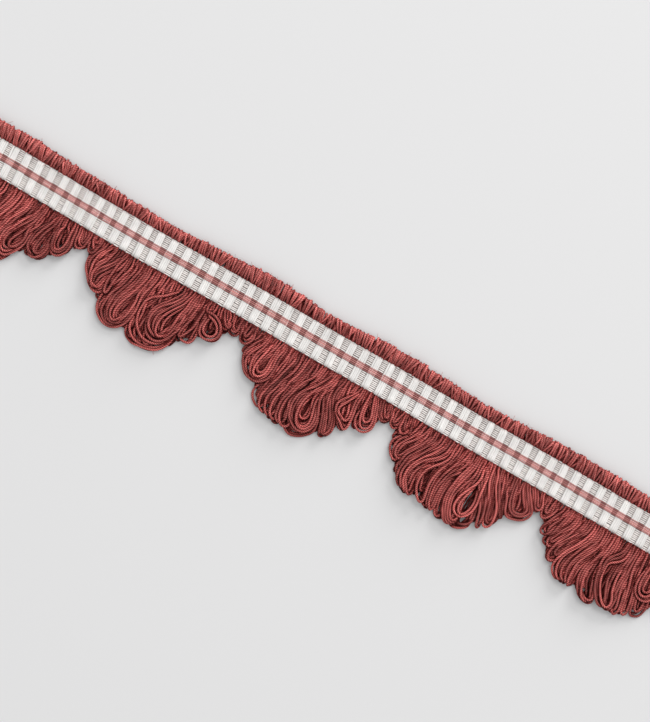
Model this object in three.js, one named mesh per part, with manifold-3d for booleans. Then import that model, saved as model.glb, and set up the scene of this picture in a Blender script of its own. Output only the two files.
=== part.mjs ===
// A cut length of woven braid trim with a scalloped fringe of yarn loops, laid flat and face up.
// Millimetres. +X runs along the trim, +Y points away from the fringe and +Z up off the table.
// The origin is on the table, under the middle of the whole trim.
import * as THREE from "three";
import { mergeVertices } from "three/addons/utils/BufferGeometryUtils.js";
import Module from "manifold-3d";

const wasm = await Module();
wasm.setup();

// Whole trim
const HALF_LENGTH = 156.3;
const PIECE_GAP = 0.3;

// Woven band, with a raised rib across it for every bundle of thick picks
const BAND_WIDTH = 12.6;
const BAND_CENTRE_Y = 11.0;
const BAND_THICK = 1.5;
const RIB_PITCH = 5.164;
const RIB_WIDTH = 2.9;
const RIB_SLOPE = 0.15;
const RIB_RISE = 0.5;
const RIB_STICK_OUT = 0.25;
const FIRST_RIB_X = -153.7;
const RIB_COUNT = 61;
const SELVEDGE_ROUND = 0.7;
const SELVEDGE_DROP = 0.45;

// Looped heading along the band's upper edge, in one bunch of yarns for every rib
const HEADING_HEIGHT = 3.0;
const NOTCH_HEIGHT = 1.7;
const NOTCH_DEPTH = 0.35;
const REACH_UNEVENNESS = 0.25;
const HEIGHT_UNEVENNESS = 0.2;
const LEAN_UNEVENNESS = 0.35;

// Fringe of loops, each scallop fused to its own strip at the band's lower edge. The loops lie in two
// layers, and the upper one is set along by a share of a pitch, a little more at its tips than at its
// roots, so that its legs cover the gaps below.
const STRIP_WIDTH = 1.8;
const STRIP_HEIGHT = 2.2;
const LOOPS_PER_LAYER = 11;
const LAYERS = 2;
const ROOT_OFFSET = 0.25;
const TIP_OFFSET = 0.32;
const END_ROOM = 2.4;
const STRAND_WIDTH = 1.7;
const STRAND_HEIGHT = 1.3;
const STRAND_GAP = 0.25;
const ROOT_SPREAD = 2.7;
const ROOT_DEPTH = 0.9;
const MOST_ROOM = 6.5;
const SPINE_SAMPLES = 24;
const LEG_STEP = 5.0;
const TURN_STEPS = 4;

// How the band wanders from a straight line: shift is towards +Y
const BAND_WANDER = [
  { x: -156.7, shift: 0.4 },
  { x: -130.4, shift: 0.4 },
  { x: -108.8, shift: 0.1 },
  { x: -78.0, shift: -0.2 },
  { x: -36.8, shift: 0.2 },
  { x: -0.8, shift: 0.1 },
  { x: 24.4, shift: 0.3 },
  { x: 56.8, shift: 0.1 },
  { x: 92.8, shift: 0.2 },
  { x: 121.6, shift: 0.0 },
  { x: 156.7, shift: 0.1 },
];

// How far the looped heading stands out from the band's upper edge
const HEADING_REACH = [
  { x: -156.7, reach: 5.1 },
  { x: -141.0, reach: 5.4 },
  { x: -100.0, reach: 4.6 },
  { x: -67.5, reach: 3.9 },
  { x: -37.5, reach: 5.3 },
  { x: -24.0, reach: 5.6 },
  { x: -4.4, reach: 4.1 },
  { x: 21.0, reach: 5.5 },
  { x: 30.0, reach: 5.5 },
  { x: 60.4, reach: 3.9 },
  { x: 99.0, reach: 5.5 },
  { x: 130.0, reach: 4.7 },
  { x: 156.7, reach: 5.0 },
];

// The heading's outline across, from the band outwards, in shares of its width and its height
const HEADING_OUTLINE = [
  { across: 0, up: 0 },
  { across: 0.9, up: 0 },
  { across: 1, up: 0.4 },
  { across: 0.78, up: 0.88 },
  { across: 0.38, up: 1 },
  { across: 0, up: 0.75 },
];

// One bunch of the heading, in shares of a rib's pitch: swelling is 0 in a notch and 1 on the crest
const BUNCH_STATIONS = [
  { along: -0.5, swelling: 0 },
  { along: -0.3, swelling: 0.85 },
  { along: 0, swelling: 1 },
  { along: 0.3, swelling: 0.85 },
];
const END_SWELLING = 0.5;

// Key loops of each scallop, in order along the band. root and tip are measured along the band from
// the scallop's first valley, and reach is how far the tip hangs from the band's lower edge. near and
// far are how much the loop swings along the band close to its root and close to its tip, and open is
// the loop's width at its turn. The loops between two rows are worked out from both.
const SCALLOPS = [
  {
    name: "scallop_1",
    from: -156.7,
    to: -94.05,
    loops: [
      { root: 2.4, tip: 1.9, reach: 7.3, near: 0, far: 0, open: 3.2 },
      { root: 6.0, tip: 3.2, reach: 11.0, near: 0, far: -0.5, open: 3.6 },
      { root: 11.0, tip: 6.5, reach: 16.3, near: 0, far: -1.0, open: 4.2 },
      { root: 16.0, tip: 12.0, reach: 20.5, near: 0, far: -1.0, open: 4.4 },
      { root: 21.0, tip: 17.0, reach: 24.5, near: 0, far: -1.0, open: 4.6 },
      { root: 26.0, tip: 21.5, reach: 26.5, near: 0, far: -1.5, open: 4.8 },
      { root: 31.0, tip: 26.0, reach: 27.2, near: 0, far: -2.0, open: 5.0 },
      { root: 36.0, tip: 30.5, reach: 26.8, near: 0, far: -2.0, open: 5.0 },
      { root: 40.5, tip: 34.8, reach: 24.5, near: 0.5, far: -1.5, open: 5.2 },
      { root: 43.5, tip: 40.0, reach: 21.0, near: 0.5, far: -1.2, open: 5.6 },
      { root: 48.0, tip: 47.6, reach: 19.4, near: 0, far: 0, open: 6.0 },
      { root: 53.0, tip: 54.0, reach: 14.4, near: -0.5, far: 0.4, open: 5.6 },
      { root: 57.0, tip: 57.8, reach: 10.2, near: 0, far: 0.4, open: 4.0 },
      { root: 60.3, tip: 60.7, reach: 7.0, near: 0, far: 0, open: 3.2 },
    ],
  },
  {
    name: "scallop_2",
    from: -94.05,
    to: -31.6,
    loops: [
      { root: 2.4, tip: 1.9, reach: 7.0, near: 0, far: 0, open: 3.0 },
      { root: 5.5, tip: 3.2, reach: 10.2, near: 0, far: -0.8, open: 3.6 },
      { root: 9.0, tip: 5.9, reach: 15.0, near: 0.5, far: -1.0, open: 4.4 },
      { root: 13.5, tip: 11.0, reach: 18.4, near: 0.5, far: -0.5, open: 5.0 },
      { root: 17.5, tip: 15.2, reach: 24.6, near: 0, far: -0.5, open: 4.4 },
      { root: 22.0, tip: 20.0, reach: 26.5, near: 0, far: -1.0, open: 4.6 },
      { root: 27.0, tip: 24.6, reach: 25.2, near: 0.5, far: 0, open: 4.4 },
      { root: 31.5, tip: 28.9, reach: 27.0, near: -1.0, far: -2.0, open: 5.0 },
      { root: 36.0, tip: 32.8, reach: 27.3, near: -1.5, far: -2.5, open: 5.4 },
      { root: 40.0, tip: 37.2, reach: 27.0, near: -1.5, far: -2.0, open: 5.4 },
      { root: 44.0, tip: 41.5, reach: 24.5, near: -1.0, far: -1.0, open: 5.0 },
      { root: 47.5, tip: 46.3, reach: 18.6, near: 0, far: 0, open: 5.0 },
      { root: 51.5, tip: 51.4, reach: 14.6, near: 0, far: 0, open: 5.4 },
      { root: 55.0, tip: 55.8, reach: 12.9, near: 0, far: 0.5, open: 4.6 },
      { root: 58.0, tip: 58.4, reach: 8.6, near: 0, far: 0.4, open: 3.6 },
      { root: 60.2, tip: 60.6, reach: 6.6, near: 0, far: 0, open: 3.0 },
    ],
  },
  {
    name: "scallop_3",
    from: -31.6,
    to: 31.05,
    loops: [
      { root: 2.4, tip: 1.9, reach: 6.7, near: 0, far: 0, open: 3.0 },
      { root: 5.0, tip: 4.2, reach: 8.2, near: 0, far: 0, open: 3.4 },
      { root: 8.5, tip: 6.3, reach: 12.6, near: 0, far: -1.2, open: 4.4 },
      { root: 12.0, tip: 9.2, reach: 16.6, near: 0, far: -1.2, open: 5.0 },
      { root: 16.0, tip: 13.2, reach: 18.0, near: 0.5, far: -0.5, open: 5.0 },
      { root: 19.5, tip: 16.3, reach: 21.8, near: 0, far: -1.0, open: 4.2 },
      { root: 23.0, tip: 19.8, reach: 25.3, near: 0.8, far: -1.2, open: 4.4 },
      { root: 27.0, tip: 24.0, reach: 27.0, near: 1.0, far: -1.8, open: 4.8 },
      { root: 31.0, tip: 28.8, reach: 27.2, near: 1.0, far: -2.4, open: 5.0 },
      { root: 35.0, tip: 32.8, reach: 27.4, near: 0.5, far: -2.5, open: 5.2 },
      { root: 39.0, tip: 37.0, reach: 26.3, near: -1.0, far: -2.0, open: 5.6 },
      { root: 42.5, tip: 41.5, reach: 23.8, near: -1.0, far: -0.5, open: 5.4 },
      { root: 46.0, tip: 45.6, reach: 22.0, near: -0.5, far: -0.5, open: 4.8 },
      { root: 49.5, tip: 49.8, reach: 18.0, near: 0, far: -0.3, open: 5.0 },
      { root: 53.5, tip: 54.5, reach: 14.4, near: 0, far: 0.4, open: 5.4 },
      { root: 57.5, tip: 58.3, reach: 11.0, near: 0, far: 0.4, open: 4.2 },
      { root: 60.3, tip: 60.8, reach: 7.0, near: 0, far: 0, open: 3.2 },
    ],
  },
  {
    name: "scallop_4",
    from: 31.05,
    to: 94.05,
    loops: [
      { root: 2.4, tip: 1.9, reach: 7.2, near: 0, far: 0, open: 3.0 },
      { root: 5.5, tip: 4.0, reach: 8.8, near: 0, far: 0, open: 3.4 },
      { root: 9.0, tip: 5.3, reach: 12.6, near: 0, far: -0.8, open: 4.0 },
      { root: 12.5, tip: 7.4, reach: 16.0, near: 0, far: -1.2, open: 4.4 },
      { root: 16.0, tip: 10.2, reach: 19.0, near: 0, far: -1.6, open: 4.4 },
      { root: 20.0, tip: 13.4, reach: 22.6, near: 0.5, far: -1.6, open: 4.6 },
      { root: 24.0, tip: 17.8, reach: 25.0, near: 0.5, far: -1.8, open: 4.8 },
      { root: 27.5, tip: 22.5, reach: 25.8, near: 0, far: -1.5, open: 5.0 },
      { root: 31.0, tip: 27.5, reach: 26.6, near: -0.5, far: -1.5, open: 5.0 },
      { root: 35.0, tip: 32.5, reach: 27.1, near: -0.5, far: -1.2, open: 5.0 },
      { root: 38.5, tip: 36.8, reach: 27.0, near: -1.0, far: -1.5, open: 5.4 },
      { root: 41.0, tip: 41.0, reach: 26.4, near: -0.5, far: 0, open: 4.6 },
      { root: 43.8, tip: 45.4, reach: 23.0, near: 0, far: 0.5, open: 4.2 },
      { root: 47.0, tip: 49.2, reach: 21.0, near: 0, far: 0.6, open: 4.4 },
      { root: 51.0, tip: 52.6, reach: 16.6, near: 0, far: 0.3, open: 4.2 },
      { root: 54.5, tip: 56.4, reach: 13.6, near: 0, far: 0.5, open: 4.4 },
      { root: 57.5, tip: 59.6, reach: 11.4, near: 0.3, far: 0.6, open: 4.0 },
      { root: 60.6, tip: 61.2, reach: 7.2, near: 0, far: 0, open: 3.2 },
    ],
  },
  {
    name: "scallop_5",
    from: 94.05,
    to: 156.7,
    loops: [
      { root: 2.4, tip: 1.9, reach: 7.6, near: 0, far: 0, open: 3.0 },
      { root: 5.0, tip: 3.6, reach: 9.8, near: 0, far: 0, open: 3.6 },
      { root: 8.5, tip: 4.9, reach: 13.0, near: 0, far: -1.0, open: 4.0 },
      { root: 12.5, tip: 8.0, reach: 16.2, near: 0, far: -1.2, open: 4.4 },
      { root: 16.5, tip: 10.9, reach: 19.8, near: 0, far: -1.5, open: 4.4 },
      { root: 20.5, tip: 14.7, reach: 22.8, near: 0, far: -1.8, open: 4.6 },
      { root: 24.5, tip: 18.9, reach: 25.2, near: 0, far: -2.0, open: 4.6 },
      { root: 28.0, tip: 23.6, reach: 26.0, near: 0, far: -2.0, open: 4.8 },
      { root: 31.5, tip: 28.6, reach: 26.6, near: 0, far: -1.5, open: 5.0 },
      { root: 35.0, tip: 33.4, reach: 26.2, near: 0, far: -0.8, open: 5.0 },
      { root: 38.0, tip: 38.0, reach: 25.5, near: 0, far: 0, open: 5.0 },
      { root: 41.5, tip: 42.8, reach: 25.2, near: 0, far: 0.5, open: 5.0 },
      { root: 45.0, tip: 47.2, reach: 23.2, near: 0, far: 0.8, open: 5.0 },
      { root: 48.5, tip: 50.3, reach: 20.0, near: 0, far: 0.5, open: 4.8 },
      { root: 52.0, tip: 53.6, reach: 15.8, near: 0, far: 0.4, open: 4.8 },
      { root: 56.0, tip: 57.4, reach: 12.0, near: 0, far: 0.4, open: 4.2 },
      { root: 60.3, tip: 60.8, reach: 7.0, near: 0, far: 0, open: 3.2 },
    ],
  },
];

// Finishes
const WHITE_COTTON = { color: 0xe4dfd9, roughness: 0.9, metalness: 0 };
const TERRACOTTA_COTTON = { color: 0x8f4842, roughness: 0.95, metalness: 0 };

// A value read off a table of rows at a place along the trim
function readTable(rows, place, placeName, valueName) {
  const after = rows.findIndex((row) => row[placeName] >= place);
  if (after === 0) return rows[0][valueName];
  if (after < 0) return rows[rows.length - 1][valueName];
  const [a, b] = [rows[after - 1], rows[after]];
  const share = (place - a[placeName]) / (b[placeName] - a[placeName]);
  return THREE.MathUtils.lerp(a[valueName], b[valueName], share);
}

// A repeatable unevenness between -1 and 1
function uneven(index, kind) {
  const wave = Math.sin(index * 12.9898 + kind * 78.233) * 43758.5453;
  return 2 * (wave - Math.floor(wave)) - 1;
}

function bandCentreY(x) {
  return BAND_CENTRE_Y + readTable(BAND_WANDER, x, "x", "shift");
}

// A closed solid skinned over sections that all have the same number of corners, in order along the
// piece, each going round anticlockwise as seen from the piece's far end
function skin(sections) {
  const corners = sections[0].length;
  const points = sections.flat();
  const faces = [];
  for (let s = 0; s + 1 < sections.length; s++) {
    for (let c = 0; c < corners; c++) {
      const next = (c + 1) % corners;
      const [a, b] = [s * corners + c, s * corners + next];
      const [d, e] = [a + corners, b + corners];
      faces.push(a, b, e, a, e, d);
    }
  }
  const last = (sections.length - 1) * corners;
  for (let c = 1; c + 1 < corners; c++) {
    faces.push(0, c + 1, c);
    faces.push(last, last + c, last + c + 1);
  }
  const geometry = new THREE.BufferGeometry().setFromPoints(points);
  geometry.setIndex(faces);
  return geometry;
}

function solidOf(geometry) {
  const merged = mergeVertices(geometry, 1e-4);
  return new wasm.Manifold(
    new wasm.Mesh({
      numProp: 3,
      vertProperties: merged.getAttribute("position").array,
      triVerts: new Uint32Array(merged.index.array),
    }),
  );
}

function geometryOf(solid) {
  const { vertProperties, triVerts } = solid.getMesh();
  const geometry = new THREE.BufferGeometry();
  geometry.setAttribute("position", new THREE.BufferAttribute(vertProperties, 3));
  geometry.setIndex(new THREE.BufferAttribute(triVerts, 1));
  return geometry;
}

function pieceOf(name, geometry, finish) {
  const shaded = geometry.toNonIndexed();
  shaded.computeVertexNormals();
  const mesh = new THREE.Mesh(shaded, new THREE.MeshStandardMaterial(finish));
  mesh.name = name;
  return mesh;
}

// The woven band, flat underneath, with its ribs standing up and stepping out past both selvedges
function bandSection(x, raised) {
  const stickOut = raised ? RIB_STICK_OUT : 0;
  const top = BAND_THICK + (raised ? RIB_RISE : 0);
  const low = bandCentreY(x) - BAND_WIDTH / 2 - stickOut;
  const high = bandCentreY(x) + BAND_WIDTH / 2 + stickOut;
  return [
    new THREE.Vector3(x, low, 0),
    new THREE.Vector3(x, high, 0),
    new THREE.Vector3(x, high, top - SELVEDGE_DROP),
    new THREE.Vector3(x, high - SELVEDGE_ROUND, top),
    new THREE.Vector3(x, low + SELVEDGE_ROUND, top),
    new THREE.Vector3(x, low, top - SELVEDGE_DROP),
  ];
}

function band() {
  const sections = [bandSection(-HALF_LENGTH, false)];
  for (let rib = 0; rib < RIB_COUNT; rib++) {
    const centre = FIRST_RIB_X + rib * RIB_PITCH;
    const start = centre - RIB_WIDTH / 2;
    const end = Math.min(centre + RIB_WIDTH / 2, HALF_LENGTH);
    sections.push(bandSection(start - RIB_SLOPE, false), bandSection(start, true));
    sections.push(bandSection(end, true));
    if (end < HALF_LENGTH) sections.push(bandSection(end + RIB_SLOPE, false));
  }
  return pieceOf("woven_band", skin(sections), WHITE_COTTON);
}

// The looped heading along the band's upper edge
function headingSection(x, swelling, bunch) {
  const edge = bandCentreY(x) + BAND_WIDTH / 2;
  const inner = edge + RIB_STICK_OUT + PIECE_GAP;
  const reach = readTable(HEADING_REACH, x, "x", "reach") + REACH_UNEVENNESS * uneven(bunch, 1);
  const width = edge + reach - NOTCH_DEPTH * (1 - swelling) - inner;
  const crest = HEADING_HEIGHT + HEIGHT_UNEVENNESS * uneven(bunch, 2);
  const height = THREE.MathUtils.lerp(NOTCH_HEIGHT, crest, swelling);
  return HEADING_OUTLINE.map(
    ({ across, up }) => new THREE.Vector3(x, inner + across * width, up * height),
  );
}

function heading() {
  const sections = [headingSection(-HALF_LENGTH, END_SWELLING, 0)];
  for (let bunch = 0; bunch < RIB_COUNT; bunch++) {
    const centre = FIRST_RIB_X + bunch * RIB_PITCH;
    const lean = LEAN_UNEVENNESS * uneven(bunch, 3);
    for (const { along, swelling } of BUNCH_STATIONS) {
      const x = centre + along * RIB_PITCH + lean * Math.sign(swelling);
      const inside = Math.abs(x) < HALF_LENGTH - PIECE_GAP;
      if (inside) sections.push(headingSection(x, swelling, bunch));
    }
  }
  sections.push(headingSection(HALF_LENGTH, END_SWELLING, RIB_COUNT));
  return pieceOf("looped_heading", skin(sections), TERRACOTTA_COTTON);
}

// A point of the fringe, from its place along a scallop and its reach from the band's lower edge
function fringePoint(scallop, along, reach) {
  const x = scallop.from + along;
  return new THREE.Vector2(x, bandCentreY(x) - BAND_WIDTH / 2 - reach);
}

// The middle line of one loop, from its root in the strip to the tip that the table gives at a place
function loopSpine(scallop, root, place) {
  const read = (valueName) => readTable(scallop.loops, place, "root", valueName);
  const [tip, reach] = [read("tip"), read("reach")];
  return {
    open: read("open"),
    curve: new THREE.CubicBezierCurve(
      fringePoint(scallop, root, RIB_STICK_OUT + PIECE_GAP + ROOT_DEPTH),
      fringePoint(scallop, root + read("near"), reach / 3),
      fringePoint(scallop, tip + read("far"), (2 * reach) / 3),
      fringePoint(scallop, tip, reach - STRAND_WIDTH / 2),
    ),
  };
}

// How far a place on one loop's spine is from the spines of the loops beside it in its layer
function roomBeside(place, neighbours) {
  const distances = neighbours.flatMap((spine) =>
    spine.curve.getPoints(SPINE_SAMPLES).map((point) => point.distanceTo(place)),
  );
  return Math.min(...distances, MOST_ROOM);
}

// The line that one loop's yarn follows: down one leg, round the turn and back up the other leg
function loopPath(spine, neighbours) {
  const length = spine.curve.getLength();
  const legSteps = Math.max(2, Math.round(length / LEG_STEP));
  const halfWidthAt = (share) => {
    const wanted = THREE.MathUtils.lerp(ROOT_SPREAD, spine.open - STRAND_WIDTH, share);
    const free = roomBeside(spine.curve.getPointAt(share), neighbours) - STRAND_WIDTH - STRAND_GAP;
    return Math.max(Math.min(wanted, free), STRAND_WIDTH + STRAND_GAP) / 2;
  };
  const sideOf = (share) => {
    const along = spine.curve.getTangentAt(share);
    return new THREE.Vector2(-along.y, along.x);
  };
  const turnRadius = halfWidthAt(1);
  const turnShare = 1 - turnRadius / length;
  const legPoint = (step, side) => {
    const share = (turnShare * step) / legSteps;
    const place = spine.curve.getPointAt(share);
    return place.addScaledVector(sideOf(share), side * halfWidthAt(share));
  };
  const turnPoint = (step) => {
    const angle = (Math.PI * step) / TURN_STEPS;
    const centre = spine.curve.getPointAt(turnShare);
    centre.addScaledVector(sideOf(turnShare), halfWidthAt(turnShare) * Math.cos(angle));
    return centre.addScaledVector(spine.curve.getTangentAt(turnShare), turnRadius * Math.sin(angle));
  };
  const points = [];
  for (let step = 0; step <= legSteps; step++) points.push(legPoint(step, 1));
  for (let step = 1; step < TURN_STEPS; step++) points.push(turnPoint(step));
  for (let step = legSteps; step >= 0; step--) points.push(legPoint(step, -1));
  return points;
}

// A strand of three sides along a path, flat underneath and ridged on top
function strand(path, base) {
  const sections = path.map((point, i) => {
    const before = path[Math.max(i - 1, 0)];
    const after = path[Math.min(i + 1, path.length - 1)];
    const along = after.clone().sub(before).normalize();
    const across = new THREE.Vector2(-along.y, along.x).multiplyScalar(STRAND_WIDTH / 2);
    return [
      new THREE.Vector3(point.x - across.x, point.y - across.y, base),
      new THREE.Vector3(point.x + across.x, point.y + across.y, base),
      new THREE.Vector3(point.x, point.y, base + STRAND_HEIGHT),
    ];
  });
  return skin(sections);
}

// The narrow strip that holds one scallop's roots, following the band's lower edge
function strip(scallop) {
  const low = RIB_STICK_OUT + PIECE_GAP;
  const first = scallop.from + PIECE_GAP / 2;
  const last = scallop.to - PIECE_GAP / 2;
  const bends = BAND_WANDER.map((row) => row.x).filter((x) => x > first && x < last);
  const sections = [first, ...bends, last].map((x) => {
    const near = fringePoint(scallop, x - scallop.from, low).y;
    const far = near - STRIP_WIDTH;
    return [
      new THREE.Vector3(x, far, 0),
      new THREE.Vector3(x, near, 0),
      new THREE.Vector3(x, near, STRIP_HEIGHT),
      new THREE.Vector3(x, far, STRIP_HEIGHT),
    ];
  });
  return skin(sections);
}

function scallopPiece(scallop) {
  const room = scallop.to - scallop.from - 2 * END_ROOM;
  const pitch = room / (LOOPS_PER_LAYER - 1 + ROOT_OFFSET);
  let solid = solidOf(strip(scallop));
  for (let layer = 0; layer < LAYERS; layer++) {
    const base = layer * (STRAND_HEIGHT + PIECE_GAP);
    const spines = [];
    for (let i = 0; i < LOOPS_PER_LAYER; i++) {
      const root = END_ROOM + (i + ROOT_OFFSET * layer) * pitch;
      const place = END_ROOM + (i + TIP_OFFSET * layer) * pitch;
      spines.push(loopSpine(scallop, root, place));
    }
    spines.forEach((spine, i) => {
      const neighbours = [spines[i - 1], spines[i + 1]].filter(Boolean);
      solid = solid.add(solidOf(strand(loopPath(spine, neighbours), base)));
    });
  }
  return pieceOf(scallop.name, geometryOf(solid), TERRACOTTA_COTTON);
}

const trim = new THREE.Group();
trim.add(band(), heading(), ...SCALLOPS.map(scallopPiece));

export default trim;
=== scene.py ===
import math

import bpy
import numpy as np
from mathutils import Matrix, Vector


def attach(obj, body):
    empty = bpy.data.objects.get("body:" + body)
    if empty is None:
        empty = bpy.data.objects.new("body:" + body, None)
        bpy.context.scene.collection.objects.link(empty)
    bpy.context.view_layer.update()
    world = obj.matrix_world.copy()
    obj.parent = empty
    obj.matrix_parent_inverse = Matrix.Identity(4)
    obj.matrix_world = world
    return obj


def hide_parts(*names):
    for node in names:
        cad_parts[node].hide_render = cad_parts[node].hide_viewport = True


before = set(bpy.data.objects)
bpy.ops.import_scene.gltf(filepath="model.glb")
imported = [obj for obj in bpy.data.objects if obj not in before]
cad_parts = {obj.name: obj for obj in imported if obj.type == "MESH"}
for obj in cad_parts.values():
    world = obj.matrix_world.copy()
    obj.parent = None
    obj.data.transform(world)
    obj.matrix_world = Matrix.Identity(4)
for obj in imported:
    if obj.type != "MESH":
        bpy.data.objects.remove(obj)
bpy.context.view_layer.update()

# The ground cloth: the flat strip of close cotton weave that the whole trim is built on. It is 12.6 mm
# wide and as long as the trim, it lies on the table or is sewn to the goods, and only a dull glimpse of
# it shows between the pale warps.
MM = 0.001
HALF_LENGTH = 156.3
BAND_HALF_WIDTH = 6.3
BAND_MIDDLE_Y = 11.0
BAND_WANDER = [
    (-156.7, 0.4), (-130.4, 0.4), (-108.8, 0.1), (-78.0, -0.2), (-36.8, 0.2), (-0.8, 0.1),
    (24.4, 0.3), (56.8, 0.1), (92.8, 0.2), (121.6, 0.0), (156.7, 0.1),
]
GROUND_TOP = 1.0
GROUND_THICK = 0.45
# The plies of a twisted yarn, and how far along the yarn one ply follows another
PLIES = 3
PLY_LENGTH = 0.8
# How coarse the fibres and the blotches of the cotton are
FIBRE_SCALE = 2.0
FIBRE_WRAP = 3.0
BLOTCH_SCALE = 300.0
# The share, the two colours and the outcome among a colour mixer's sockets
MIX_SHARE, MIX_LOW, MIX_HIGH, MIX_OUT = 0, 6, 7, 2


def band_middle(along):
    """The band's middle line, across the trim, in millimetres. The real band isn't quite straight."""
    stations, shifts = zip(*BAND_WANDER)
    return BAND_MIDDLE_Y + np.interp(along, stations, shifts)


def set_inputs(tree, node, inputs):
    """Each named input of the node takes a value, or is fed by another node's output."""
    for socket, given in inputs.items():
        if isinstance(given, bpy.types.NodeSocket):
            tree.links.new(given, node.inputs[socket])
        else:
            node.inputs[socket].default_value = given


def add_node(tree, kind, inputs=None, **settings):
    """A new node of the tree, with its settings and its inputs."""
    node = tree.nodes.new(kind)
    for setting, value in settings.items():
        setattr(node, setting, value)
    set_inputs(tree, node, inputs or {})
    return node


def maths(tree, operation, *terms, **settings):
    """The outcome of a sum. Each term is a number or an output."""
    node = add_node(tree, "ShaderNodeMath", dict(enumerate(terms)), operation=operation, **settings)
    return node.outputs["Value"]


def ranged(tree, source, from_low, from_high, to_low, to_high):
    """The source moved from one range to another, and kept inside it."""
    node = add_node(tree, "ShaderNodeMapRange", {
        "Value": source, "From Min": from_low, "From Max": from_high, "To Min": to_low, "To Max": to_high,
    })
    return node.outputs["Result"]


def mixed(tree, share, low, high):
    """A colour between two others."""
    inputs = {MIX_SHARE: share, MIX_LOW: low, MIX_HIGH: high}
    return add_node(tree, "ShaderNodeMix", inputs, data_type="RGBA").outputs[MIX_OUT]


def cotton_group():
    """Cotton seen close: fibres and twisted plies along the yarn's own map, and soft blotches over all."""
    group = bpy.data.node_groups.new("cotton_fibres", "ShaderNodeTree")
    for socket in ("Fibres", "Plies", "Blotches"):
        group.interface.new_socket(socket, in_out="OUTPUT", socket_type="NodeSocketFloat")
    lie = add_node(group, "ShaderNodeUVMap", uv_map="yarn")
    split = add_node(group, "ShaderNodeSeparateXYZ", {"Vector": lie.outputs["UV"]})
    turn = maths(group, "MULTIPLY", split.outputs["Y"], math.tau)
    wrapped = add_node(group, "ShaderNodeCombineXYZ", {
        "X": split.outputs["X"],
        "Y": maths(group, "MULTIPLY", maths(group, "COSINE", turn), FIBRE_WRAP),
        "Z": maths(group, "MULTIPLY", maths(group, "SINE", turn), FIBRE_WRAP),
    })
    fibres = add_node(group, "ShaderNodeTexNoise", {
        "Vector": wrapped.outputs["Vector"], "Scale": FIBRE_SCALE, "Detail": 3.0, "Roughness": 0.6,
    })
    strands = maths(group, "MULTIPLY", turn, PLIES)
    slant = maths(group, "MULTIPLY_ADD", split.outputs["X"], -math.tau / PLY_LENGTH, strands)
    place = add_node(group, "ShaderNodeTexCoord")
    blotches = add_node(group, "ShaderNodeTexNoise", {
        "Vector": place.outputs["Object"], "Scale": BLOTCH_SCALE, "Detail": 2.0,
    })
    add_node(group, "NodeGroupOutput", {
        "Fibres": fibres.outputs["Fac"],
        "Plies": maths(group, "MULTIPLY_ADD", maths(group, "COSINE", slant), 0.5, 0.5),
        "Blotches": blotches.outputs["Fac"],
    })
    return group


COTTON_FIBRES = cotton_group()


def cotton_material(name, painted_deep_shade, body, painted_light, uneven=0.03, patchy=0.06, ply_shade_and_bump=0.0):
    """Matt spun cotton with painted light: its first colour is the painted shade deep between yarns, body
    its own colour, and its last the painted highlight where it lies open on top. uneven is how much the
    yarns differ, patchy how much they change along their way, and the ply setting how much painted shade
    falls between its plies, and how deep their bump is."""
    material = bpy.data.materials.new(name)
    material.use_nodes = True
    tree = material.node_tree
    cotton = add_node(tree, "ShaderNodeGroup", node_tree=COTTON_FIBRES)
    fibres, plies, blotches = (cotton.outputs[socket] for socket in ("Fibres", "Plies", "Blotches"))
    # The yarn's painted light value: 1 paints the highlight on its top, 0 the full painted shade deep down
    painted_light_share = add_node(tree, "ShaderNodeAttribute", attribute_name="painted_light").outputs["Fac"]
    tone = add_node(tree, "ShaderNodeAttribute", attribute_name="tone").outputs["Fac"]
    # Painted shade between the plies lowers the painted light value
    painted_ply_shade = ranged(tree, plies, 0.0, 1.0, 1.0 - ply_shade_and_bump, 1.0)
    height = maths(tree, "MULTIPLY", painted_light_share, painted_ply_shade, use_clamp=True)
    # The painted highlight lies in flecks along the fibres, strongest where the painted light value is high
    flecks = ranged(tree, fibres, 0.3, 0.65, 0.0, 1.0)
    painted_highlight_share = maths(tree, "MULTIPLY", flecks, maths(tree, "POWER", height, 1.7))
    # Painted shade: from the cotton's own colour down to the painted shade colour
    painted_shade_body = mixed(tree, height, (*painted_deep_shade, 1.0), (*body, 1.0))
    patch = ranged(tree, blotches, 0.3, 0.7, 1.0 - patchy, 1.0 + patchy)
    # The painted highlight colour goes over it, then each yarn's random tone and blotches
    dyed = add_node(tree, "ShaderNodeHueSaturation", {
        "Color": mixed(tree, painted_highlight_share, painted_shade_body, (*painted_light, 1.0)),
        "Value": maths(tree, "MULTIPLY_ADD", tone, uneven, patch),
    })
    bump = add_node(tree, "ShaderNodeBump", {
        "Strength": 0.6,
        "Distance": 0.07 * MM,
        "Height": maths(tree, "MULTIPLY_ADD", plies, 2.0 * ply_shade_and_bump, fibres),
    })
    set_inputs(tree, tree.nodes["Principled BSDF"], {
        "Base Color": dyed.outputs["Color"],
        "Roughness": ranged(tree, fibres, 0.0, 1.0, 0.8, 0.98),
        "Normal": bump.outputs["Normal"],
        "Specular IOR Level": 0.15,
        "Sheen Weight": 0.12,
        "Sheen Roughness": 0.5,
        "Sheen Tint": (*painted_light, 1.0),
    })
    return material


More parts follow.
